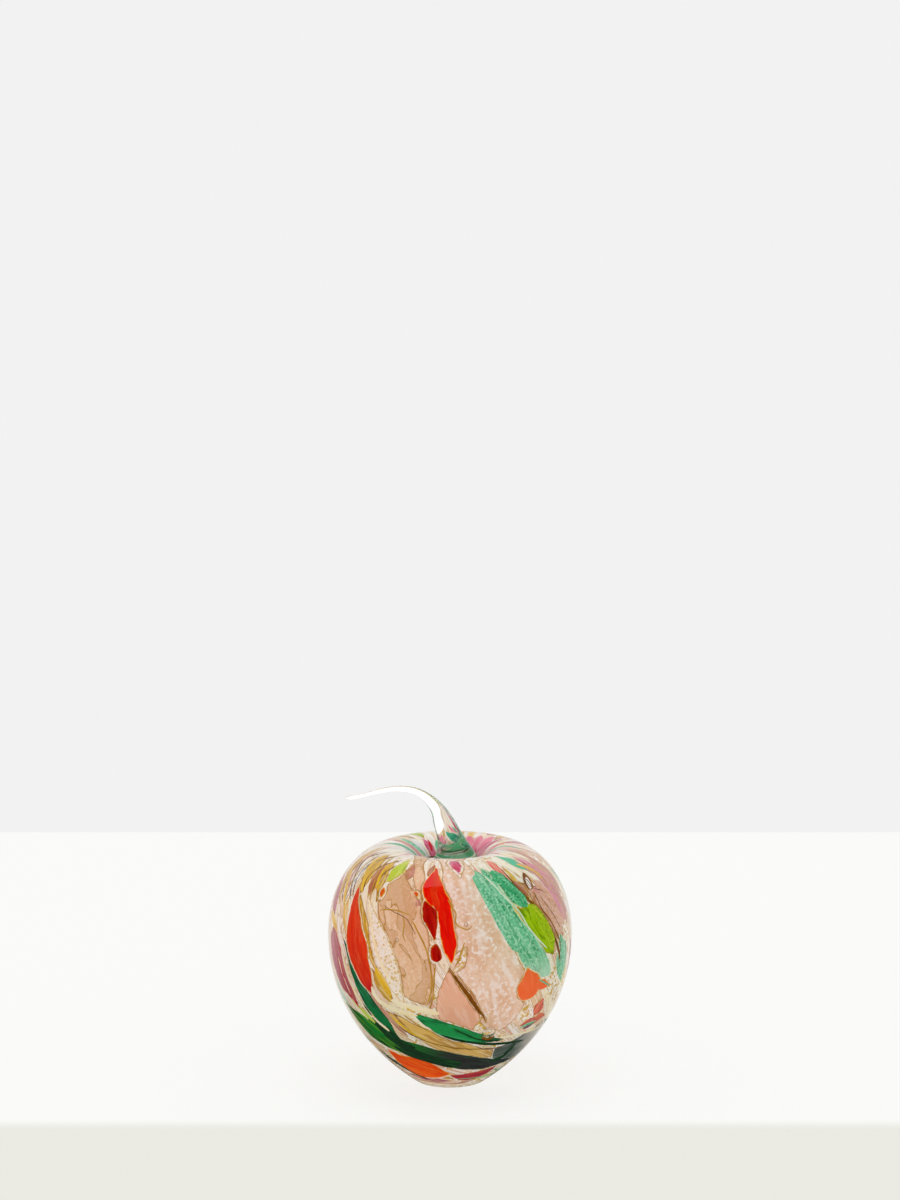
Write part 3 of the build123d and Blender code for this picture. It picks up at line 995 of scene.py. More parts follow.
@dataclass
class Stem:
    """The stem, drawn out of a hot gather of clear crystal that was dropped in the dimple."""

    outline: AppleOutline
    rings: tuple[Ring, ...] = (
        Ring(2.1, -2.0, 13.0),
        Ring(2.1, 3.2, 11.6),
        Ring(1.9, 6.0, 9.4),
        Ring(1.6, 9.0, 7.4),
        Ring(0.9, 12.2, 5.7),
        Ring(-0.4, 16.0, 4.6),
        Ring(-2.6, 21.6, 3.7),
        Ring(-4.3, 25.3, 2.8),
        Ring(-6.5, 28.2, 2.15),
        Ring(-9.6, 30.9, 1.65),
        Ring(-13.2, 32.7, 1.3),
        Ring(-18.5, 33.5, 1.05),
        Ring(-25.9, 32.6, 0.85),
        Ring(-32.6, 30.8, 0.65),
        Ring(-37.6, 29.9, 0.52),
        Ring(-38.2, 29.8, 0.36),
    )
    sides: int = 72
    steps: int = 10
    tip_steps: int = 5
    crease: float = 50.0
    fusing: float = 0.05
    cutter_sides: int = 216
    # It was drawn out hot, so its ripples run along it.
    finish: ClearCrystal = ClearCrystal(ior=1.46, ripple_size=(3.0, 3.0, 8.6), ripple_depth=0.012)

    def line(self) -> np.ndarray:
        """Rows of reach, height and radius along the whole stem, smooth through its rings."""
        return smooth(np.array([(ring.reach, ring.height, ring.radius) for ring in self.rings]), self.steps)

    def tube(self) -> tuple[np.ndarray, Faces]:
        """The stem as a closed tube, its foot still square.

        Returns:
            Its points and faces.
        """
        line = self.line()
        ahead = np.gradient(line[:, :2], axis=0)
        ahead /= np.linalg.norm(ahead, axis=1)[:, None]
        tip, heading = line[-1], ahead[-1]
        for angle in np.linspace(0, np.pi / 2, self.tip_steps + 1)[1:-1]:
            centre = tip[:2] + heading * tip[2] * math.sin(angle)
            line = np.concatenate([line, [(*centre, tip[2] * math.cos(angle))]])
            ahead = np.concatenate([ahead, [heading]])
        angles = np.linspace(0, 2 * np.pi, self.sides, endpoint=False)
        points = []
        for (reach, height, radius), (run, climb) in zip(line, ahead):
            across = radius * np.cos(angles)
            deep = radius * np.sin(angles)
            level = self.outline.dimple_floor + height
            points.append(np.stack([reach + climb * across, deep, level - run * across], axis=1))
        end = tip[:2] + heading * tip[2]
        caps = [
            (line[0, 0], 0, self.outline.dimple_floor + line[0, 1]),
            (end[0], 0, self.outline.dimple_floor + end[1]),
        ]
        return np.concatenate([*points, caps]), skin_faces(len(points), self.sides)

    def build(self) -> bpy.types.Object:
        """Make the stem, its foot fused a hair's breadth into the skin of the dimple.

        Returns:
            The piece.
        """
        material = self.finish.dress("clear_crystal_hot_drawn")
        piece = new_piece("drawn_stem", *self.tube(), material)
        curve = self.outline.curve(self.fusing)
        skin = np.concatenate([[(0, self.fusing)], curve])
        cutter = new_piece("dimple_cutter", *spin(skin, self.cutter_sides), material)
        cut = piece.modifiers.new("seat", "BOOLEAN")
        cut.operation = "DIFFERENCE"
        cut.solver = "EXACT"
        cut.object = cutter
        drawn = bpy.data.meshes.new_from_object(piece.evaluated_get(bpy.context.evaluated_depsgraph_get()))
        piece.modifiers.clear()
        piece.data = drawn
        bpy.data.objects.remove(cutter)
        shade(drawn, self.crease)
        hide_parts("stem")
        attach(piece, ROOT)
        return piece


@dataclass
class ColourLayer:
    """The ivory ground and the chips that were rolled into it while they were soft.

    Creep is how large its waves are and how far they reach, leans are how far the swirl leans at each rise,
    and a chip's cast is a random shift, so that no two chips have the same streaks. Row spacing and rim
    clearance are multiples of the spacing of points.
    """

    outline: AppleOutline
    wall: Wall
    finishes: dict[str, ChipGlass]
    chip_thickness: float = 1.0
    crown: float = 0.22
    shoulder: float = 1.3
    crease: float = 62.0
    spacing: float = 0.75
    row_spacing: float = 0.87
    rim_spacing: float = 0.4
    rim_clearance: float = 0.6
    least_steps: int = 10
    digits: int = 3
    weld: float = 1e-5
    batch: int = 800
    creep: tuple[tuple[float, float], ...] = ((6.0, 0.5), (1.9, 0.28), (0.9, 0.14))
    cast_reach: float = 90.0
    seed: int = 7
    touch: float = 0.04
    ground_inset: float = 4.07
    ground_depth: float = 5.0
    ground_sides: int = 240
    leans: tuple[tuple[float, float], ...] = (
        (0.0, 60.0), (0.15, 60.0), (0.25, 50.0), (0.4, 30.0), (0.6, 25.0), (0.75, 12.0), (0.85, 0.0)
    )
    least_girth: float = 6.0
    ground_finish: GroundGlass = GroundGlass()
    casts: np.random.Generator = field(init=False)

    def __post_init__(self) -> None:
        """Make the creep and the casts the same each time."""
        noise.seed_set(self.seed)
        self.casts = np.random.default_rng(self.seed)

    def rims(self, node: bpy.types.Object) -> list[np.ndarray]:
        """Outlines of a node's chips on the wall.

        Args:
            node: The node that holds the chips.

        Returns:
            Closed loops of points in millimetres, holes among them.
        """
        mesh = node.data
        points = np.empty(len(mesh.vertices) * 3)
        mesh.vertices.foreach_get("co", points)
        mesh.calc_loop_triangles()
        corners = np.empty(len(mesh.loop_triangles) * 3, int)
        mesh.loop_triangles.foreach_get("vertices", corners)
        rounded = np.round(points.reshape(-1, 3) / MM, self.digits)
        merged, number = np.unique(rounded, axis=0, return_inverse=True)
        faces = number.reshape(-1)[corners].reshape(-1, 3)
        outer = faces[(self.wall.locate(merged)[2] < self.touch)[faces].all(axis=1)]
        edges = np.concatenate([outer[:, [0, 1]], outer[:, [1, 2]], outer[:, [2, 0]]])
        forward = edges[:, 0] * len(merged) + edges[:, 1]
        backward = edges[:, 1] * len(merged) + edges[:, 0]
        follow: dict[int, list[int]] = {}
        for start, end in edges[~np.isin(forward, backward)]:
            follow.setdefault(int(start), []).append(int(end))
        loops = []
        while follow:
            first = next(iter(follow))
            loop = [first]
            while loop[-1] in follow:
                step = follow[loop[-1]].pop()
                if not follow[loop[-1]]:
                    del follow[loop[-1]]
                if step == first:
                    break
                loop.append(step)
            if len(loop) > 2:
                loops.append(merged[loop])
        return loops

    def soften(self, loop: np.ndarray) -> np.ndarray:
        """Let an outline creep as soft glass does, the same way as its neighbours.

        Args:
            loop: Points of the outline.

        Returns:
            Its turns and stations at even steps.
        """
        moved = []
        for point in loop:
            shift = Vector((0, 0, 0))
            for size, reach in self.creep:
                shift += noise.noise_vector(Vector(point) / size) * reach
            moved.append(point + np.array(shift))
        closed = np.array([*moved, moved[0]])
        along = np.concatenate([[0.0], np.cumsum(np.linalg.norm(np.diff(closed, axis=0), axis=1))])
        count = max(self.least_steps, int(along[-1] / self.rim_spacing))
        steps = np.linspace(0, along[-1], count, endpoint=False)
        even = np.stack([np.interp(steps, along, closed[:, axis]) for axis in range(3)], axis=1)
        even = (np.roll(even, 1, axis=0) + 2 * even + np.roll(even, -1, axis=0)) / 4
        turn, station, _ = self.wall.locate(even)
        middle = math.atan2(np.sin(turn).mean(), np.cos(turn).mean())
        turn = middle + (turn - middle + np.pi) % (2 * np.pi) - np.pi
        return np.stack([turn, station], axis=1)

    @staticmethod
    def inside(points: np.ndarray, loops: list[np.ndarray]) -> np.ndarray:
        """Whether each point is within an outline and outside its holes.

        Args:
            points: Flat points.
            loops: Flat outlines.

        Returns:
            A truth value for each point.
        """
        crossed = np.zeros(len(points), int)
        x, y = points[:, 0][:, None], points[:, 1][:, None]
        for loop in loops:
            after = np.roll(loop, -1, axis=0)
            spans = (loop[:, 1] > y) != (after[:, 1] > y)
            rise = after[:, 1] - loop[:, 1]
            rise = np.where(rise == 0, TINY, rise)
            meet = loop[:, 0] + (y - loop[:, 1]) * (after[:, 0] - loop[:, 0]) / rise
            crossed += (spans & (x < meet)).sum(axis=1)
        return crossed % 2 == 1

    def chips_of(self, loops: list[np.ndarray]) -> list[list[np.ndarray]]:
        """Sort outlines into chips, each with its holes.

        Args:
            loops: Outlines as turns and stations.

        Returns:
            For each chip its outline, then its holes.
        """
        areas = []
        for loop in loops:
            after = np.roll(loop, -1, axis=0)
            areas.append(float((loop[:, 0] * after[:, 1] - after[:, 0] * loop[:, 1]).sum()))
        chips = [[loop] for loop, area in zip(loops, areas) if area > 0]
        for hole in (loop for loop, area in zip(loops, areas) if area <= 0):
            for chip in chips:
                if self.inside(hole[:1], chip[:1])[0]:
                    chip.append(hole)
                    break
        return chips

    def edge_distance(self, points: np.ndarray, rim: np.ndarray) -> np.ndarray:
        """How far points are from a rim.

        Args:
            points: Rows of x, y and z.
            rim: Rows of x, y and z round the edge.

        Returns:
            The distance of each point.
        """
        nearest = np.full(len(points), np.inf)
        for begin in range(0, len(points), self.batch):
            gaps = np.linalg.norm(points[begin : begin + self.batch, None] - rim[None], axis=2)
            nearest[begin : begin + self.batch] = gaps.min(axis=1)
        return nearest

    def filling(self, flat: list[np.ndarray]) -> np.ndarray:
        """Points of a triangular grid inside a chip.

        Args:
            flat: The chip's flat outline and holes.

        Returns:
            The flat points.
        """
        rim = np.concatenate(flat)
        low, high = rim.min(axis=0), rim.max(axis=0)
        rows = []
        for row, level in enumerate(np.arange(low[1], high[1], self.spacing * self.row_spacing)):
            start = low[0] + (row % 2) * self.spacing / 2
            line = np.arange(start, high[0], self.spacing)
            rows.append(np.stack([line, np.full(len(line), level)], axis=1))
        grid = np.concatenate(rows)
        return grid[self.inside(grid, flat)]

    def sheet(self, flat: list[np.ndarray], grid: np.ndarray) -> tuple[np.ndarray, np.ndarray]:
        """Span a chip with triangles.

        Args:
            flat: The chip's flat outline and holes.
            grid: Flat points inside it.

        Returns:
            The flat points and the triangles.
        """
        edges = []
        count = 0
        for loop in flat:
            numbers = np.arange(len(loop)) + count
            edges += list(zip(numbers.tolist(), np.roll(numbers, -1).tolist()))
            count += len(loop)
        given = [Vector(point) for point in np.concatenate([*flat, grid])]
        made = delaunay_2d_cdt(given, edges, [], 1, self.weld)
        spots = np.array([tuple(point) for point in made[0]])
        faces = np.array(made[2])
        faces = faces[self.inside(spots[faces].mean(axis=1), flat)]
        used, faces = np.unique(faces, return_inverse=True)
        return spots[used], faces.reshape(-1, 3)

    @staticmethod
    def lengthwise(spots: np.ndarray, rim: np.ndarray) -> np.ndarray:
        """Measure points along the longest way through a chip.

        Args:
            spots: Flat points.
            rim: Flat points of the chip's outline.

        Returns:
            For each point its place across and along the chip, from the chip's middle.
        """
        middle = rim.mean(axis=0)
        spread = rim - middle
        axis = np.linalg.eigh(spread.T @ spread)[1][:, -1]
        axis = axis if axis[1] > 0 else -axis
        offset = spots - middle
        return np.stack([offset @ (axis[1], -axis[0]), offset @ axis], axis=1)

    def chip_mesh(self, chip: list[np.ndarray]) -> tuple[np.ndarray, np.ndarray, np.ndarray]:
        """One chip as a closed, softly crowned tablet.

        Args:
            chip: Its outline and holes, as turns and stations.

        Returns:
            Its points, its triangles, and for each point its place across and along the chip and its
            distance from the edge.
        """
        rim = np.concatenate(chip)
        middle = rim[:, 0].mean()
        girth = float(np.interp(rim[:, 1], self.wall.station, self.wall.curve[:, 0]).mean())
        flat = [(loop - (middle, 0)) * (girth, 1.0) for loop in chip]
        rim_points = self.wall.place(rim[:, 0], rim[:, 1])
        grid = self.filling(flat)
        placed = self.wall.place(grid[:, 0] / girth + middle, grid[:, 1])
        grid = grid[self.edge_distance(placed, rim_points) > self.rim_clearance * self.rim_spacing]
        spots, faces = self.sheet(flat, grid)
        turn, station = spots[:, 0] / girth + middle, spots[:, 1]
        edge = self.edge_distance(self.wall.place(turn, station), rim_points)
        round_edge = np.sqrt(1 - (1 - np.clip(edge / self.shoulder, 0, 1)) ** 2)
        top = self.wall.place(turn, station, self.crown * round_edge)
        under = self.wall.place(turn, station, -self.chip_thickness)
        walls = []
        for start, end in self.border(faces):
            walls.append((start, start + len(spots), end + len(spots)))
            walls.append((start, end + len(spots), end))
        every = np.concatenate([faces, faces[:, ::-1] + len(spots), walls])
        leaf = np.column_stack([self.lengthwise(spots, np.concatenate(flat)), edge])
        return np.concatenate([top, under]), every, np.concatenate([leaf, leaf])

    @staticmethod
    def border(faces: np.ndarray) -> list[tuple[int, int]]:
        """Edges of a sheet of triangles that have a face on one side only, in reverse."""
        edges = {(int(face[i]), int(face[(i + 1) % 3])) for face in faces for i in range(3)}
        return sorted((start, end) for start, end in edges if (end, start) not in edges)

    def build_chips(self, name: str) -> bpy.types.Object:
        """Make the chips of one node.

        Args:
            name: The node's name.

        Returns:
            The piece that stands for it.
        """
        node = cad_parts[name]
        loops = [self.soften(loop) for loop in self.rims(node)]
        points, faces, leaves, casts = [], [], [], []
        count = 0
        for chip in self.chips_of(loops):
            more, skins, leaf = self.chip_mesh(chip)
            points.append(more)
            faces.append(skins + count)
            leaves.append(leaf)
            casts.append(np.repeat(self.casts.uniform(0, self.cast_reach, (1, 3)), len(more), axis=0))
            count += len(more)
        material = self.finishes[name].dress(f"{name}_soda_glass_hot_rolled")
        piece = new_piece(
            f"{name}_glass", np.concatenate(points), np.concatenate(faces), material, self.crease
        )
        mark(piece, "leaf", np.concatenate(leaves))
        mark(piece, "cast", np.concatenate(casts))
        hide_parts(name)
        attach(piece, ROOT)
        return piece

    def swirl(self, points: np.ndarray) -> tuple[np.ndarray, np.ndarray]:
        """Places along the swirl that the ground took on when the gather was turned.

        Args:
            points: Rows of x, y and z in millimetres.

        Returns:
            For each point its place along the swirl, and how far up the wall it is.
        """
        turn, station, _ = self.wall.locate(points)
        rises, leans = np.array(self.leans).T
        lean = np.radians(np.interp(self.wall.station / self.wall.length, rises, leans))
        step = np.diff(self.wall.station, prepend=0.0)
        girth = np.maximum(self.wall.curve[:, 0], self.least_girth)
        drift = np.interp(station, self.wall.station, np.cumsum(step * np.tan(lean) / girth))
        run = np.interp(station, self.wall.station, np.cumsum(step / np.cos(lean)))
        reach = self.outline.body_radius
        place = np.stack([reach * np.cos(turn + drift), reach * np.sin(turn + drift), run], axis=1)
        return place, station / self.wall.length

    def build_ground(self) -> bpy.types.Object:
        """Make the ivory ground as a thin closed shell.

        Returns:
            The piece.
        """
        points, faces = [], []
        for inset, facing in ((self.ground_inset, 1), (self.ground_depth, -1)):
            skin = np.concatenate([[(0, inset)], self.outline.curve(inset)])
            more, skins = spin(skin, self.ground_sides)
            shift = sum(len(part) for part in points)
            faces += [tuple(number + shift for number in face[::facing]) for face in skins]
            points.append(more)
        material = self.ground_finish.dress("ivory_soda_glass_rolled_with_gold")
        piece = new_piece("ivory_ground_glass", np.concatenate(points), faces, material)
        swirl, rise = self.swirl(np.concatenate(points))
        mark(piece, "swirl", swirl)
        mark(piece, "rise", rise)
        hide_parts("ivory_ground")
        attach(piece, ROOT)
        return piece


@dataclass(frozen=True)
class Thread:
    """A fine line of glass through spots on the wall, each a turn in degrees and a rise."""

    spots: tuple[Spot, ...]
    width: float


# Degrees at which a hoop has its spots: once round, with its ends at the back.
HOOP_TURNS = range(180, 541, 20)


def hoop(rise: float, width: float) -> Thread:
    """A thread that runs round the dimple."""
    return Thread(tuple((turn, rise) for turn in HOOP_TURNS), width)


@dataclass(frozen=True)
class Strands:
    """Threads of one glass, the name of a slot, which is not used, and where they run."""

    name: str
    slot: str
    finish: ChipGlass
    threads: tuple[Thread, ...]


@dataclass
class Threads:
    """The fine lines of coloured glass that lie over the chips, where the soft ground closed round them.

    A broad smear lies flatter than a thread, so that threads show over it.
    """

    wall: Wall
    steps: int = 12
    sides: int = 8
    height: float = 0.2
    broad: float = 2.9
    broad_height: float = 0.11
    lift: float = 0.14
    taper: float = 3.0
    tip_share: float = 0.01

    def strand(self, thread: Thread) -> tuple[np.ndarray, Faces, np.ndarray]:
        """One thread as a closed, flattened tube that thins out at its ends.

        Args:
            thread: Where it runs.

        Returns:
            Its points, its faces, and for each point its place across and along the thread.
        """
        turn, station = smooth(np.array(thread.spots) * (math.pi / 180, self.wall.length), self.steps).T
        middle = self.wall.place(turn, station, self.lift)
        outward = self.wall.place(turn, station, self.lift + 1) - middle
        ahead = np.gradient(middle, axis=0)
        ahead /= np.linalg.norm(ahead, axis=1)[:, None]
        across = np.cross(ahead, outward)
        along = np.concatenate([[0.0], np.cumsum(np.linalg.norm(np.diff(middle, axis=0), axis=1))])
        left = np.minimum(along, along[-1] - along) / min(self.taper, along[-1] / 2)
        share = np.sqrt(np.clip(left, self.tip_share, 1))
        angles = np.linspace(0, 2 * np.pi, self.sides, endpoint=False)
        wide = np.cos(angles)[None] * share[:, None] * thread.width / 2
        height = self.height if thread.width < self.broad else self.broad_height
        high = np.sin(angles)[None] * share[:, None] * height
        points = middle[:, None] + across[:, None] * wide[..., None] + outward[:, None] * high[..., None]
        rows = len(middle)
        faces: Faces = []
        for row in range(rows - 1):
            here, there = row * self.sides, (row + 1) * self.sides
            for side in range(self.sides):
                after = (side + 1) % self.sides
                faces.append((here + side, there + side, there + after, here + after))
        faces.append(tuple(range(self.sides)))
        faces.append(tuple(reversed(range((rows - 1) * self.sides, rows * self.sides))))
        # A thread has no rim, so every point of it counts as far from an edge.
        from_edge = np.full(wide.shape, self.taper)
        leaf = np.stack([wide, np.repeat(along[:, None], self.sides, axis=1), from_edge], axis=-1)
        return points.reshape(-1, 3), faces, leaf.reshape(-1, 3)

    def build(self, strands: Strands) -> bpy.types.Object:
        """Make all threads of one glass.

        Args:
            strands: The threads and their glass.

        Returns:
            The piece.
        """
        points, faces, leaves = [], [], []
        count = 0
        for thread in strands.threads:
            more, skins, leaf = self.strand(thread)
            points.append(more)
            faces += [tuple(number + count for number in face) for face in skins]
            leaves.append(leaf)
            count += len(more)
        material = strands.finish.dress(f"{strands.name}_soda_glass_hot_drawn")
        piece = new_piece(strands.name, np.concatenate(points), faces, material)
        mark(piece, "leaf", np.concatenate(leaves))
        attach(piece, ROOT)
        return piece


@dataclass
class InnerGather:
    """The hollow first gather and its opal skin, which stay as they were modelled."""

    opal: InnerGlass = InnerGlass("#F1EEE6", "#E2DCCB")
    gather: InnerGlass = InnerGlass("#DDE4DE", "#C9D4CC")

    def dress(self) -> None:
        """Give both layers their finishes."""
        for name, finish in (("opal_skin", self.opal), ("core_gather", self.gather)):
            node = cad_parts[name]
            slot = node.data.materials[0].name
            node.data.materials[0] = finish.dress(f"{slot}_gathered_and_blown")
            LOG.info("dressed %s", name)


@dataclass
class Studio:
    """A pale floor, a pale surround and a camera that looks down at the apple a little.

    Rows are pixel rows of a frame 1200 pixels high, counted from its top.
    """

    lens: float = 150.0
    sensor: float = 36.0
    clip: tuple[float, float] = (0.01, 100.0)
    image_height: int = 1200
    pixels_per_mm: float = 2.7
    elevation: float = 15.0
    aim_height: float = 54.6
    aim_row: float = 936.0
    floor_end_row: float = 832.0
    floor_front_row: float = 1122.0
    floor_reach: float = 2500.0
    floor_gap: float = 0.1
    floor_nose: float = 3.0
    nose_steps: int = 7
    floor_drop: float = 400.0
    floor_colour: str = "#FBFBF9"
    # Painted shade on the rounded nose and the front face of the shelf.
    front_shade_colour: str = "#EDEDE6"
    floor_roughness: float = 0.8
    floor_gloss: float = 0.1
    floor_glow: float = 0.82
    floor_fill: float = 1.1
    floor_grit: float = 1.2
    floor_tooth: float = 0.02
    floor_share: float = 0.14
    floor_mirror: float = 0.06
    wall_colour: str = "#F2F2F2"
    sky: float = CASING_LIGHT.room
    dim_side: float = 0.04
    far_side: float = 0.8
    far_angles: tuple[float, float] = (105.0, 140.0)
    lamp_size: float = 900.0
    lamp_place: Triple = (-200.0, 100.0, 1300.0)
    lamp_tilt: tuple[float, float] = (4.0, -8.0)
    lamp_power: float = 2.0
    bounces: int = 24
    scattered_bounces: int = 8
    mirrored_bounces: int = 8
    passed_bounces: int = 16

    def focal_pixels(self) -> float:
        """Focal length in pixels of the photograph's frame."""
        return self.lens / self.sensor * self.image_height

    def pitch(self) -> float:
        """Degrees that the camera looks down."""
        below = self.aim_row - self.image_height / 2
        return self.elevation - math.degrees(math.atan(below / self.focal_pixels()))

    def eye(self) -> Vector:
        """Find where the camera stands.

        Returns:
            Its place in millimetres.
        """
        distance = self.focal_pixels() / self.pixels_per_mm
        angle = math.radians(self.elevation)
        return Vector((0, -distance * math.cos(angle), self.aim_height + distance * math.sin(angle)))

    def build_camera(self) -> bpy.types.Object:
        """Set up the camera.

        Returns:
            The camera.
        """
        data = bpy.data.cameras.new("viewer")
        data.lens = self.lens
        data.sensor_width = self.sensor
        data.clip_start, data.clip_end = self.clip
        camera = bpy.data.objects.new("viewer", data)
        camera.location = self.eye() * MM
        camera.rotation_euler = (math.radians(90 - self.pitch()), 0, 0)
        bpy.context.scene.collection.objects.link(camera)
        bpy.context.scene.camera = camera
        return camera

    def far_light(self, recipe: Recipe, toward: Socket, near: float) -> Socket:
        """Light that the polished glass mirrors: bright on the far side, dim on the near side.

        Args:
            recipe: The recipe of the floor or the room.
            toward: Direction in which the light lies.
            near: How bright it is on the near side.

        Returns:
            The light's strength.
        """
        start, end = (-math.cos(math.radians(angle)) for angle in self.far_angles)
        back = recipe.add("SeparateXYZ", {0: toward}).outputs["Y"]
        inputs = {
            "Value": back,
            "From Min": start,
            "From Max": end,
            "To Min": near,
            "To Max": self.far_side,
        }
        return recipe.add("MapRange", inputs, interpolation_type="SMOOTHSTEP").outputs[0]

    @staticmethod
    def mirrored(recipe: Recipe, path: bpy.types.Node) -> Socket:
        """1 for light that was turned back by a polished surface and went through none, otherwise 0."""
        inputs = {0: path.outputs["Is Glossy Ray"], 1: path.outputs["Is Transmission Ray"]}
        return recipe.add("Math", inputs, operation="SUBTRACT", use_clamp=True).outputs[0]

    def floor_at(self, row: float) -> float:
        """Find how far back the floor is where it shows in a row.

        Args:
            row: The row.

        Returns:
            The place along Y in millimetres.
        """
        eye = self.eye()
        below = math.atan((row - self.image_height / 2) / self.focal_pixels())
        return eye.y + eye.z / math.tan(math.radians(self.pitch()) + below)

    def build_floor(self) -> bpy.types.Object:
        """Lay the floor, a shelf whose far and near edges show where the photograph has them.

        Returns:
            The floor.
        """
        far, near = self.floor_at(self.floor_end_row), self.floor_at(self.floor_front_row)
        bend = np.linspace(0, np.pi / 2, self.nose_steps)
        back = near + self.floor_nose - self.floor_nose * np.sin(bend)
        level = self.floor_nose * (np.cos(bend) - 1) - self.floor_gap
        rows = [(far, level[0], 0.0), *zip(back, level, bend / bend[-1]), (near, -self.floor_drop, 1.0)]
        points, front_shades = [], []
        for depth, height, front_shade in rows:
            points += [(-self.floor_reach, depth, height), (self.floor_reach, depth, height)]
            front_shades += [front_shade, front_shade]
        faces = [(2 * row + 1, 2 * row, 2 * row + 2, 2 * row + 3) for row in range(len(rows) - 1)]
        # Board with matt paint: a pale tone, dull, with a fine tooth. Painted shade darkens its rounded
        # nose and front face, which would get less light than its top. The tooth of real paint is finer,
        # and is drawn as coarse as it needs to be to show.
        material, recipe = new_material("board_matt_painted")
        spot = recipe.add("TexCoord").outputs["Object"]
        grit = self.floor_grit * MM
        tooth = recipe.clouds(spot, (grit, grit, grit), detail=2.0)
        skin = recipe.add("Bump", {"Height": tooth, "Distance": self.floor_tooth * MM})
        front_shade = recipe.add("Attribute", attribute_name="front_shade").outputs["Fac"]
        # Painted shade: the floor's colour darkens round the nose and down the front face.
        tone = recipe.stain(linear(self.floor_colour), linear(self.front_shade_colour), front_shade, (0.0, 1.0))
        share = recipe.add("VectorMath", {0: tone, "Scale": self.floor_share}, operation="SCALE").outputs[0]
        path = recipe.add("LightPath")
        seen = path.outputs["Is Camera Ray"]
        inputs = {0: seen, 1: self.floor_glow - self.floor_fill, 2: self.floor_fill}
        glow = recipe.add("Math", inputs, operation="MULTIPLY_ADD").outputs[0]
        inputs = {
            "Base Color": share,
            "Roughness": self.floor_roughness,
            "Specular IOR Level": self.floor_gloss,
            "Normal": skin.outputs[0],
            "Emission Color": tone,
            "Emission Strength": glow,
        }
        paint = recipe.add("BsdfPrincipled", inputs)
        toward = recipe.add("VectorMath", {0: spot}, operation="NORMALIZE").outputs[0]
        dim = self.far_light(recipe, toward, self.floor_mirror)
        faint = recipe.add("Emission", {"Color": tone, "Strength": dim})
        mirrored = self.mirrored(recipe, path)
        shown = recipe.add("MixShader", {0: mirrored, 1: paint.outputs[0], 2: faint.outputs[0]})
        recipe.add("OutputMaterial", {"Surface": shown.outputs[0]})
        floor = new_piece("floor", np.array(points), faces, material)
        mark(floor, "front_shade", np.array(front_shades))
        return floor

    def build_light(self) -> None:
        """Light the room evenly, dimmer in the glass's reflections, with a soft lamp overhead."""
        world = bpy.data.worlds.new("pale_room")
        world.use_nodes = True
        bpy.context.scene.world = world
        recipe = Recipe(world.node_tree)
        direction = recipe.add("TexCoord").outputs["Generated"]
        dim = self.far_light(recipe, direction, self.dim_side)
        path = recipe.add("LightPath")
        white = linear("#FFFFFF")
        room = recipe.add("Background", {"Color": white, "Strength": self.sky})
        mirror = recipe.add("Background", {"Color": white, "Strength": dim})
        wall = recipe.add("Background", {"Color": linear(self.wall_colour), "Strength": 1.0})
        mirrored = self.mirrored(recipe, path)
        lit = recipe.add("MixShader", {0: mirrored, 1: room.outputs[0], 2: mirror.outputs[0]})
        seen = path.outputs["Is Camera Ray"]
        shown = recipe.add("MixShader", {0: seen, 1: lit.outputs[0], 2: wall.outputs[0]})
        recipe.add("OutputWorld", {0: shown.outputs[0]})
        data = bpy.data.lights.new("overhead", "AREA")
        data.size = self.lamp_size * MM
        data.energy = self.lamp_power
        lamp = bpy.data.objects.new("overhead", data)
        lamp.location = Vector(self.lamp_place) * MM
        lamp.rotation_euler = (*(math.radians(tilt) for tilt in self.lamp_tilt), 0)
        bpy.context.scene.collection.objects.link(lamp)

    def build(self) -> None:
        """Set up the floor, the light and the camera, and how light is followed through the glass."""
        self.build_camera()
        self.build_floor()
        self.build_light()
        scene = bpy.context.scene
        scene.view_settings.view_transform = "Standard"
        scene.cycles.max_bounces = self.bounces
        scene.cycles.diffuse_bounces = self.scattered_bounces
        scene.cycles.glossy_bounces = self.mirrored_bounces
        scene.cycles.transmission_bounces = self.passed_bounces
        scene.cycles.blur_glossy = 0.0


# Red chips: full and nearly even, with thin deeper streaks and an orange or amber edge where they thin.
SCARLET = ChipGlass(
    "#DE0A00", "#BE0000", "#E22808", "#E8921E", 0.4, deep_share=0.5, pale_share=0.4, tip="#D23208",
    tip_band=(5, 14),
)
GARNET = ChipGlass("#8A0400", "#5E0000", "#A81608", "#9A4A0A", 0.35)
VERMILION = ChipGlass(
    "#D0260A", "#B41606", "#D84426", "#A87A30", 0.45, deep_share=0.6, pale_share=0.5, tip="#980418",
    tip_band=(-10, -19),
)
CRIMSON = ChipGlass("#901E2A", "#540C1E", "#BC3E36", "#8A5030", 0.4)
MAGENTA = ChipGlass("#B2304E", "#86123A", "#D0708A", "#F0D5C8", 0.5)
MAUVE = ChipGlass("#B25278", "#883664", "#D88CA6", "#D0A898", 0.4)
ROSE = ChipGlass("#904048", "#6E222C", "#B46A72", "#A01024", 0.5, run=14)
PLUM = ChipGlass("#9A5260", "#6A2C3C", "#D8A8A0", "#C8A070", 0.4)

# Orange and coral chips: bright, almost of one tone, with a soft amber edge.
CORAL = ChipGlass(
    "#F6502A", "#F0441C", "#F8623A", "#D89040", 0.45, deep_share=0.4, pale_share=0.4, line_share=0.2,
)
PALE_CORAL = ChipGlass("#E45E4C", "#C83E30", "#F4A090", "#F0CDA8", 0.4)
SALMON = ChipGlass("#D25A44", "#7E2430", "#F0907A", "#A05030", 0.5, deep_share=0.7)
ORANGE = ChipGlass("#F24400", "#DE2200", "#F25E1C", "#D89030", 0.45)
AMBER = ChipGlass("#C23E0A", "#A02404", "#E88A40", "#D89A40", 0.4)

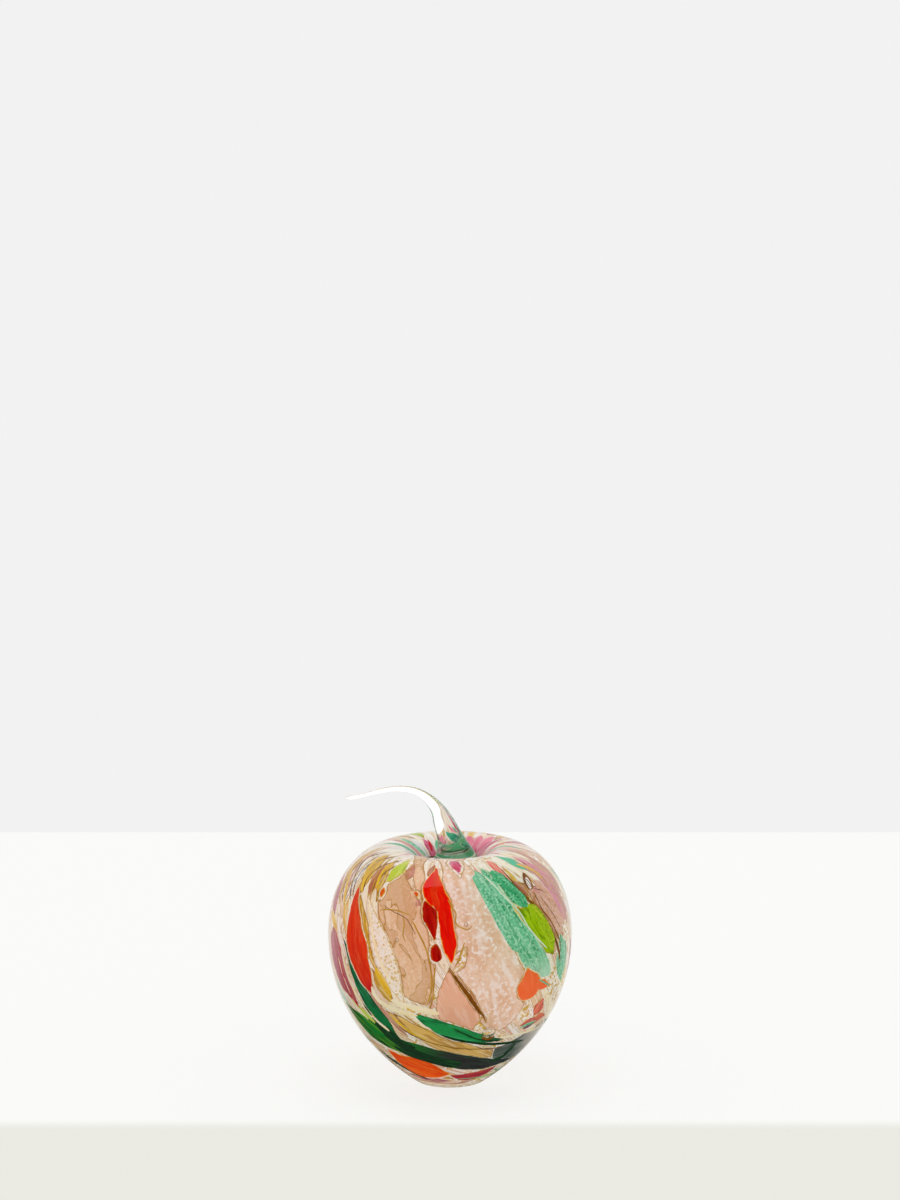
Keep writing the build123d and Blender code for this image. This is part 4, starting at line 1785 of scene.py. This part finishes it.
# Green chips: dark streaks drawn out along the leaf, and milky grains in the paler ones.
GRASS = ChipGlass("#08601A", "#04200A", "#4A921E", "#8AA03A", 0.4, run=12, deep_share=0.9)
EMERALD = ChipGlass(
    "#147438", "#082C18", "#2E9A5A", "#14401E", 0.45, deep_share=0.85, tip="#1C3A26",
    tip_band=(-5, -15),
)
FOREST = ChipGlass("#08582C", "#0A2E22", "#1C7E44", "#0A3018", 0.35, run=12, deep_share=0.9)
MINT = ChipGlass(
    "#52AC7C", "#1E7446", "#92D4B0", "#D0D8A8", 0.4, streak=0.8, run=9, deep_share=0.85,
    grain=Grain.MOTTLED, grain_size=0.9, tip="#90D4B2", tip_band=(-10, -26),
)
FERN = ChipGlass(
    "#3E9660", "#145C36", "#7EC09A", "#C0CC98", 0.4, streak=0.8, run=9, deep_share=0.85,
    grain=Grain.MOTTLED, grain_size=0.9,
)
SAGE = ChipGlass("#86BEA2", "#4E9274", "#C8E5D5", "#C8D0A8", 0.5)
LEAF_GREEN = ChipGlass("#34A478", "#12704A", "#86D0B0", "#A8C090", 0.4)
LIME = ChipGlass(
    "#7AA600", "#4A6A00", "#A2C61E", "#8A6410", 0.5, streak=0.8, run=6, deep_share=0.9, side="#A8A808",
    side_band=(1, 5),
)
PALE_LIME = ChipGlass("#A2C634", "#6E981C", "#CBE080", "#C0A840", 0.5)

# Dark chips: nearly black, so that their green or grey shows only in the streaks and at one end.
# The slate's pale grey end is a painted reflection.
BOTTLE = ChipGlass(
    "#1C211E", "#18121A", "#203A2C", "#123A20", 0.4, run=14, tip="#0A5A16", tip_band=(3, 21),
)
# Painted reflection: the slate turns pale grey towards its upper end, where a faint whitish shine lies.
SLATE = ChipGlass("#3E4A44", "#202A26", "#74847C", "#4A564E", 0.6, tip="#C0BCB6", tip_band=(-4, 7))
CHARCOAL = ChipGlass("#2E3834", "#161C1E", "#5E6E66", "#7A7A60", 0.4)

# Tan, pink and brown patches: broad soft clouds, some folded, with a brown edge.
PINK = ChipGlass("#E0987A", "#D0866A", "#EAB29C", "#8A5A20", 0.5, streak=2.0, run=5, line_share=0.15)
PATCH = ChipGlass(
    "#B87A58", "#925634", "#CE948A", "#7A4A1C", 0.5, fold=5.0, grain=Grain.MOTTLED, grain_size=1.0,
    side="#C67886", side_band=(-1, 5),
)
TAN_LEFT = ChipGlass(
    "#D6A47C", "#B6845C", "#E2BEA2", "#8E6024", 0.7, streak=2.6, run=5, deep_share=0.5, line_share=0.3,
    fold=6.0, grain=Grain.MOTTLED, grain_size=1.1,
)
TAN_RIGHT = ChipGlass(
    "#DEB498", "#C89470", "#F8ECEA", "#96682A", 0.7, streak=2.6, run=4, line_share=0.2,
    grain=Grain.MOTTLED, grain_size=1.5,
)
BACK_TAN = ChipGlass(
    "#DAB296", "#C2946E", "#F2E0DA", "#96682A", 0.7, streak=2.6, run=4, fold=6.5, grain=Grain.MOTTLED,
    grain_size=1.5,
)
BROWN = ChipGlass("#94543E", "#6E3230", "#BC8468", "#B0823A", 0.45)
RUSSET = ChipGlass("#82382A", "#501C10", "#AE6048", "#B88040", 0.3)
UMBER = ChipGlass("#5E3408", "#3E1E04", "#8A5C22", "#6A4410", 0.2)

# Honey-coloured streaks: long fine lines of dark amber in pale gold.
CARAMEL = ChipGlass(
    "#D29C4C", "#9C682A", "#E6C284", "#6A4418", 0.45, streak=0.8, run=16, deep_share=0.85,
)
GOLD = ChipGlass("#C08E2C", "#8E6216", "#E6CA7C", "#7E5416", 0.45)

# Pale bands with leaf and mica in them: crackled flakes, some dull and some painted bright as glints.
SILVER = ChipGlass("#C4C8C8", "#7E8686", "#FAFCFB", "#8A7A4A", 0.4, grain=Grain.MICA, grain_size=0.9)
MICA = ChipGlass(
    "#F8F0DE", "#BC9848", "#FFFFFF", "#B88C34", 0.5, grain=Grain.MICA, grain_size=0.7, deep_share=0.25,
)
PEARL = ChipGlass("#D0D0D6", "#A4A4B0", "#F4F2F6", "#A89890", 0.4)

# Streaks in the dimple: drawn long and thin where the neck was closed.
DIMPLE_GREEN = ChipGlass("#229066", "#0A5838", "#7CC8A8", "#A8C0A0", 0.4, run=14)
DIMPLE_ROSE = ChipGlass("#C2526E", "#8E2A48", "#EAA6B4", "#E0B8B0", 0.4, run=14)
DIMPLE_RED = ChipGlass("#DC6680", "#B03450", "#F2B4BE", "#E89A9A", 0.4, run=14)

# Threads and smears, drawn from rods of the same kinds of glass: thin, so almost of one tone.
AMBER_STRAND = ChipGlass("#A87A28", "#7E5414", "#D8AE5E")
GOLD_STRAND = ChipGlass("#DCA426", "#A87414", "#F2D878")
CREAM_STRAND = ChipGlass("#FFF0C0", "#F4D88C", "#FFFFF6")
# Painted reflection: white glass that stands in for the silvery shine of an air bubble.
BUBBLE_SHINE_STRAND = ChipGlass("#F4EEF4", "#DCD0DC", "#FFFFFF")
SCARLET_STRAND = ChipGlass("#D42206", "#B40A02", "#E03C16")
RED_STRAND = ChipGlass("#B8202C", "#8E0C1C", "#D04A48")
BRONZE_STRAND = ChipGlass("#B07A66", "#84503E", "#D0A898")
GREEN_STRAND = ChipGlass(
    "#52AC7C", "#1E7446", "#92D4B0", streak=0.8, grain=Grain.MOTTLED, grain_size=0.9,
)
FERN_STRAND = ChipGlass(
    "#2E9058", "#0E5632", "#6CBC90", streak=0.8, grain=Grain.MOTTLED, grain_size=0.9,
)
LIME_STRAND = ChipGlass(
    "#7EAA06", "#4E7402", "#B0C42A", streak=0.8, grain=Grain.MOTTLED, grain_size=0.8,
)
PALE_GREEN_STRAND = ChipGlass("#CFE6C4", "#9CCFA8", "#EAF4DC")
DARK_STRAND = ChipGlass("#0A2814", "#08140C", "#0C4E1E", streak=0.9)
ROSE_STRAND = ChipGlass("#8E3644", "#6A1C28", "#B05C66")
BLUSH_STRAND = ChipGlass("#C8708A", "#A04A6A", "#E0A0B0")
PATCH_STRAND = ChipGlass(
    "#C48C72", "#A06644", "#DCAAA6", streak=1.4, run=5, grain=Grain.MOTTLED, grain_size=1.0,
)
PLUM_STRAND = ChipGlass("#5A3A4A", "#382230", "#8A5A60")

# The threads and smears that lie over the chips. Those past 90 degrees either way are round the back.
STRANDS = (
    Strands(
        "amber_threads", "gold_glass", AMBER_STRAND,
        (
            Thread(((-39, 0.615), (-36.5, 0.627), (-30.5, 0.63), (-26, 0.627), (-20.5, 0.612)), 0.55),
            Thread(((-26, 0.627), (-24, 0.592), (-24, 0.563), (-22, 0.542)), 0.6),
            Thread(
                (
                    (-20.5, 0.612), (-17, 0.583), (-12.5, 0.54), (-10, 0.494),
                    (-9, 0.446), (-10, 0.396), (-12, 0.366),
                ),
                0.7,
            ),
            Thread(((-7, 0.492), (-8, 0.44), (-8.5, 0.396), (-10.5, 0.35)), 0.5),
            Thread(((-1.5, 0.673), (3, 0.633), (5.5, 0.593), (8.5, 0.586), (12, 0.6)), 0.6),
            Thread(((7.5, 0.557), (5.5, 0.522), (4, 0.497), (2, 0.48)), 0.6),
            Thread(((-79, 0.61), (-82.5, 0.653), (-83.5, 0.697), (-82.5, 0.742), (-83, 0.779)), 0.8),
            Thread(((-71, 0.616), (-73.5, 0.667), (-74.5, 0.722), (-75, 0.769)), 0.9),
            Thread(((-61, 0.66), (-65, 0.7), (-65.5, 0.745), (-64.5, 0.779)), 0.8),
            Thread(((-49.5, 0.645), (-52, 0.687), (-57, 0.742), (-59, 0.787)), 0.7),
            Thread(((-26, 0.326), (-20.5, 0.304), (-12, 0.272), (-2.5, 0.243)), 0.5),
            Thread(((-38, 0.396), (-35.5, 0.379), (-32, 0.362)), 1.3),
        ),
    ),
    Strands(
        "umber_threads", "brown_glass", UMBER,
        (
            Thread(((40.5, 0.753), (42, 0.719), (43.5, 0.687), (49, 0.646)), 0.6),
            Thread(
                (
                    (54, 0.668), (54.8, 0.639), (56, 0.607), (60.5, 0.57),
                    (64, 0.535), (67.5, 0.5), (66, 0.444),
                ),
                0.55,
            ),
            Thread(
                ((-31.5, 0.287), (-20, 0.246), (-5, 0.219), (11, 0.203), (28.5, 0.196), (40, 0.193)),
                0.4,
            ),
            Thread(((-66, 0.623), (-71.5, 0.66), (-79, 0.706), (-86, 0.749)), 0.7),
            Thread(((-73, 0.605), (-82.5, 0.659), (-84.5, 0.719), (-76, 0.79)), 0.45),
            Thread(((-64, 0.632), (-70, 0.679), (-70, 0.737), (-58, 0.797)), 0.5),
            Thread(((-57.5, 0.656), (-60.5, 0.696), (-58.5, 0.739), (-47, 0.787)), 0.45),
            Thread(((-50, 0.656), (-51, 0.692), (-49.5, 0.727), (-46, 0.763)), 0.4),
            Thread(((57.5, 0.656), (60.5, 0.616), (65, 0.576), (69.5, 0.533)), 0.4),
            Thread(((-39.5, 0.64), (-32, 0.626), (-25.5, 0.616), (-20.5, 0.593), (-17, 0.566)), 0.3),
            Thread(((18.5, 0.252), (24, 0.236), (28, 0.247)), 1.5),
            Thread(((55.5, 0.67), (61.5, 0.657), (64, 0.64)), 0.5),
            Thread(((56.6, 0.72), (54.3, 0.688), (52.4, 0.656)), 3.7),
            Thread(((-150, 0.72), (-143, 0.65), (-137, 0.58), (-130, 0.52)), 0.6),
            Thread(((118, 0.7), (124, 0.63), (132, 0.56), (140, 0.5)), 0.5),
        ),
    ),
    Strands(
        "gold_smears", "gold_glass", GOLD_STRAND,
        (
            Thread(((-39.5, 0.462), (-35.5, 0.422), (-31.5, 0.382)), 3.0),
            Thread(((-26, 0.36), (-22.5, 0.349), (-19, 0.337)), 1.3),
            Thread(((-34, 0.317), (-27, 0.28), (-20, 0.253), (-12.5, 0.237)), 1.1),
            Thread(((19, 0.264), (23, 0.254), (26, 0.26)), 1.5),
            Thread(((57, 0.755), (66.5, 0.717), (70, 0.676)), 1.3),
            Thread(((-86, 0.57), (-79, 0.548), (-72, 0.528)), 3.0),
            Thread(((150, 0.77), (156, 0.7), (163, 0.6), (171, 0.52)), 3.0),
            Thread(((-128, 0.74), (-122, 0.67), (-115, 0.6)), 2.2),
            Thread(((100, 0.72), (105, 0.64), (112, 0.57)), 2.4),
            Thread(((-58, 0.655), (-63.5, 0.695), (-69.5, 0.739), (-70, 0.78)), 2.0),
            Thread(((-48.5, 0.676), (-51, 0.712), (-52.5, 0.746), (-51, 0.777)), 1.6),
            Thread(((-70, 0.603), (-76.5, 0.645), (-85.5, 0.687), (-91, 0.733)), 1.6),
        ),
    ),
    Strands(
        "cream_veins", "ivory_glass", CREAM_STRAND,
        (
            Thread(
                (
                    (-66, 0.493), (-62, 0.422), (-58.5, 0.38), (-53.5, 0.334),
                    (-46, 0.287), (-39.5, 0.263), (-34.5, 0.244),
                ),
                1.5,
            ),
            Thread(((-70, 0.46), (-65.5, 0.392), (-60, 0.327), (-53, 0.279)), 0.9),
            Thread(((-43.5, 0.403), (-37, 0.352), (-28, 0.336), (-17.5, 0.327)), 2.0),
            Thread(((-32, 0.37), (-24, 0.356), (-16, 0.349), (-5.5, 0.337)), 2.6),
            Thread(((-49.5, 0.645), (-43, 0.57), (-37, 0.49), (-30, 0.42)), 1.2),
            Thread(((178, 0.72), (184, 0.62), (192, 0.52), (203, 0.44)), 1.4),
            Thread(((140, 0.6), (148, 0.5), (160, 0.42)), 1.2),
            Thread(((32.5, 0.246), (44.5, 0.236), (58.5, 0.237), (72, 0.246)), 1.0),
            Thread(((-70, 0.077), (-52.5, 0.029), (-16.5, 0.008), (24, 0.012)), 0.8),
        ),
    ),
    # Painted reflection: this white oval lies under the long bubble and stands in for the shine of its air.
    Strands(
        "bubble_shine_oval", "silver_glass", BUBBLE_SHINE_STRAND,
        (Thread(((55.9, 0.71), (54.3, 0.688), (53, 0.666)), 2.85),),
    ),
    Strands(
        "scarlet_bridge", "scarlet_glass", SCARLET_STRAND,
        (
            Thread(((-11, 0.775), (-10, 0.735), (-9.5, 0.696), (-9.5, 0.663)), 1.6),
            Thread(((-12, 0.71), (-8.5, 0.67), (-6, 0.636)), 2.6),
            Thread(((-134, 0.7), (-129, 0.63), (-123, 0.57)), 4.0),
            Thread(((145, 0.63), (150, 0.56), (156, 0.5)), 3.2),
        ),
    ),
    Strands(
        "coral_tail", "coral_glass", CORAL,
        (Thread(((46, 0.402), (51, 0.396), (58, 0.385)), 3.0),),
    ),
    Strands(
        "red_seams", "crimson_glass", RED_STRAND,
        (
            Thread(((-67.5, 0.454), (-65.5, 0.386), (-62, 0.347), (-57, 0.307)), 1.3),
            Thread(((96.5, 0.85), (105.5, 0.827), (110, 0.799), (114.5, 0.77)), 0.7),
            Thread(((-150, 0.86), (-152, 0.84), (-154, 0.815)), 1.8),
        ),
    ),
    Strands(
        "bronze_smears", "rose_glass", BRONZE_STRAND,
        (
            Thread(((-45.5, 0.387), (-41, 0.35), (-36.5, 0.314), (-31.5, 0.28), (-26.5, 0.25)), 1.7),
            Thread(((79, 0.706), (79, 0.635), (80.5, 0.559)), 2.2),
            Thread(((67.5, 0.75), (70, 0.697), (72.3, 0.636), (74.5, 0.578)), 3.0),
            Thread(((76, 0.742), (76.5, 0.68), (78, 0.612), (79, 0.54)), 2.9),
            Thread(((61, 0.765), (62.5, 0.735), (64, 0.705)), 1.6),
            Thread(((81.5, 0.803), (80.5, 0.739), (83.5, 0.677), (82.5, 0.619)), 3.0),
            Thread(((120, 0.3), (150, 0.255), (180, 0.235), (210, 0.225), (235, 0.235)), 3.0),
            Thread(((-74, 0.647), (-79.5, 0.685), (-83.5, 0.722), (-85, 0.765)), 1.4),
            Thread(((-119.5, 0.863), (-117, 0.839), (-119, 0.805), (-121, 0.772)), 1.8),
            Thread(((-62, 0.03), (-36, 0.012), (0, 0.006), (36.5, 0.024)), 1.8),
        ),
    ),
    Strands(
        "green_smears", "mint_glass", GREEN_STRAND,
        (
            Thread(((18.5, 0.76), (21.5, 0.7), (25.5, 0.635), (31, 0.565), (37, 0.51)), 5.0),
            Thread(((45.5, 0.26), (51.5, 0.269), (59.5, 0.272)), 1.4),
            Thread(((-160, 0.86), (-162, 0.84), (-164, 0.815)), 1.8),
            Thread(((-133.5, 0.87), (-130, 0.848), (-127, 0.82), (-127, 0.786)), 2.4),
            Thread(((6.5, 0.039), (33, 0.039), (51, 0.08)), 0.8),
            Thread(((69.5, 0.505), (72, 0.464), (72.5, 0.427), (71, 0.392)), 6.0),
            Thread(((50, 0.414), (55, 0.399), (60, 0.384)), 0.7),
            Thread(((172, 0.45), (184, 0.39), (196, 0.345)), 3.4),
        ),
    ),
    Strands(
        "dark_smears", "bottle_glass", DARK_STRAND,
        (
            Thread(((33.5, 0.127), (42.5, 0.14), (47, 0.169), (49.5, 0.204)), 2.4),
            Thread(((1, 0.289), (9.5, 0.262), (20.5, 0.237), (34, 0.224)), 0.8),
            Thread(((-40, 0.28), (-36, 0.243), (-31, 0.214), (-22.5, 0.199)), 2.6),
            Thread(((-48, 0.279), (-43, 0.252), (-38.5, 0.226), (-32, 0.21)), 4.0),
            Thread(((-42, 0.25), (-33.5, 0.209), (-22.5, 0.174), (-6.5, 0.146), (13, 0.122)), 4.6),
            Thread(((-41.5, 0.2), (-30, 0.164), (-12.5, 0.138), (4.5, 0.112)), 2.4),
            Thread(((-66, 0.16), (-53, 0.099), (-43, 0.057), (-28, 0.027)), 1.3),
            Thread(((-6, 0.262), (13, 0.231), (35.5, 0.211), (58, 0.203)), 1.2),
            Thread(((-54, 0.344), (-49, 0.303), (-41, 0.247)), 1.3),
            hoop(0.874, 0.5),
            hoop(0.918, 0.8),
        ),
    ),
    Strands(
        "rose_smear", "rose_glass", ROSE_STRAND,
        (
            Thread(((-79, 0.515), (-76, 0.456), (-72, 0.403), (-66, 0.354)), 5.0),
            Thread(((-164, 0.67), (-158, 0.59), (-150, 0.51), (-142, 0.45)), 4.4),
            Thread(((128, 0.76), (132, 0.7), (138, 0.63)), 2.6),
        ),
    ),
    Strands(
        "fern_smear", "mint_glass", FERN_STRAND,
        (Thread(((32, 0.753), (36.5, 0.707), (41.5, 0.662), (45.5, 0.626)), 5.0),),
    ),
    Strands(
        "lime_smears", "lime_glass", LIME_STRAND,
        (
            Thread(((46.5, 0.632), (52.5, 0.585), (57, 0.535), (60.5, 0.492)), 5.0),
            Thread(((-115, 0.47), (-109, 0.42), (-101, 0.37)), 2.6),
        ),
    ),
    Strands(
        "patch_smears", "rose_glass", PATCH_STRAND,
        (
            Thread(((54, 0.66), (59.5, 0.617), (65.5, 0.573), (69.5, 0.52)), 5.0),
            Thread(((60, 0.69), (65, 0.643), (70, 0.6), (74.5, 0.54)), 4.6),
        ),
    ),
    Strands(
        "blush_smears", "rose_glass", BLUSH_STRAND,
        (
            Thread(((65.5, 0.727), (67.5, 0.676), (70.5, 0.62), (73.5, 0.555)), 0.8),
            Thread(((69.5, 0.769), (72.5, 0.717), (74, 0.653), (75.5, 0.6)), 0.9),
            Thread(((67.5, 0.667), (71.5, 0.625), (74.5, 0.585), (77, 0.55)), 1.8),
            Thread(((66, 0.78), (68.5, 0.739), (72, 0.71), (78, 0.68), (84.5, 0.65)), 1.4),
        ),
    ),
    Strands(
        "pale_green_lines", "mint_glass", PALE_GREEN_STRAND,
        (
            Thread(
                (
                    (24, 0.745), (29, 0.7), (34, 0.657), (38, 0.63),
                    (44, 0.565), (48, 0.537), (55.5, 0.497),
                ),
                0.7,
            ),
            hoop(0.897, 1.0),
        ),
    ),
    Strands(
        "plum_smear", "rose_glass", PLUM_STRAND,
        (Thread(((48.5, 0.256), (52, 0.26), (56.5, 0.264)), 1.8),),
    ),
    Strands(
        "dimple_pink_smears", "rose_glass", DIMPLE_RED,
        (
            Thread(((135, 0.865), (135, 0.83), (136, 0.785)), 5.0),
            Thread(((146, 0.868), (146.5, 0.835), (148, 0.79)), 4.6),
            Thread(((157, 0.87), (158, 0.838), (160, 0.795)), 5.0),
        ),
    ),
)

# The glass of each node of chips, in the order in which the chips are laid on.
FINISHES = {
    "scarlet_blade": SCARLET,
    "garnet_blade": GARNET,
    "garnet_drop": GARNET,
    "vermilion_blade": VERMILION,
    "coral_tooth": CORAL,
    "red_crumbs": SALMON,
    "magenta_wedge": MAGENTA,
    "bottle_band": BOTTLE,
    "grass_leaf": GRASS,
    "orange_chip": ORANGE,
    "crimson_sliver": CRIMSON,
    "emerald_leaf": EMERALD,
    "forest_leaf": FOREST,
    "slate_chip": SLATE,
    "pink_oval": PINK,
    "caramel_streak": CARAMEL,
    "mint_band": MINT,
    "fern_leaf": FERN,
    "lime_patch": LIME,
    "moss_chip": MINT,
    "top_green_leaf": LEAF_GREEN,
    "coral_streak": PALE_CORAL,
    "brown_streaks": BROWN,
    "russet_line": RUSSET,
    "magenta_streak": MAUVE,
    "pink_patch": PATCH,
    "lime_streaks": PALE_LIME,
    "gold_streaks": GOLD,
    "silver_streak": SILVER,
    "rose_streaks": ROSE,
    "sage_streak": SAGE,
    "charcoal_sliver": CHARCOAL,
    "plum_sliver": PLUM,
    "mica_bands": MICA,
    "back_red_blades": VERMILION,
    "back_green_leaves": FERN,
    "back_mint_band": MINT,
    "back_lime_chips": LIME,
    "back_coral_chips": CORAL,
    "back_bottle_band": BOTTLE,
    "back_orange_chips": ORANGE,
    "tan_patch_left": TAN_LEFT,
    "tan_patch_right": TAN_RIGHT,
    "back_tan_patches": BACK_TAN,
    "brown_threads": UMBER,
    "orange_spots": AMBER,
    "dimple_green_streaks": DIMPLE_GREEN,
    "dimple_rose_streaks": DIMPLE_ROSE,
    "dimple_pearl_streaks": PEARL,
    "dimple_red_streaks": DIMPLE_RED,
}


def main() -> None:
    """Build the apple from the outside in, then the studio."""
    logging.basicConfig(level=logging.INFO, format="%(name)s: %(message)s")
    outline = AppleOutline()
    wall = Wall(outline, Casing.thickness)
    LOG.info("built %s", Casing(outline, wall).build().name)
    LOG.info("built %s", Stem(outline).build().name)
    layer = ColourLayer(outline, wall, FINISHES)
    LOG.info("built %s", layer.build_ground().name)
    for name in FINISHES:
        piece = layer.build_chips(name)
        LOG.info("built %s with %d points", piece.name, len(piece.data.vertices))
    threads = Threads(wall)
    for strands in STRANDS:
        LOG.info("built %s", threads.build(strands).name)
    InnerGather().dress()
    Studio().build()


if __name__ == "__main__":
    main()
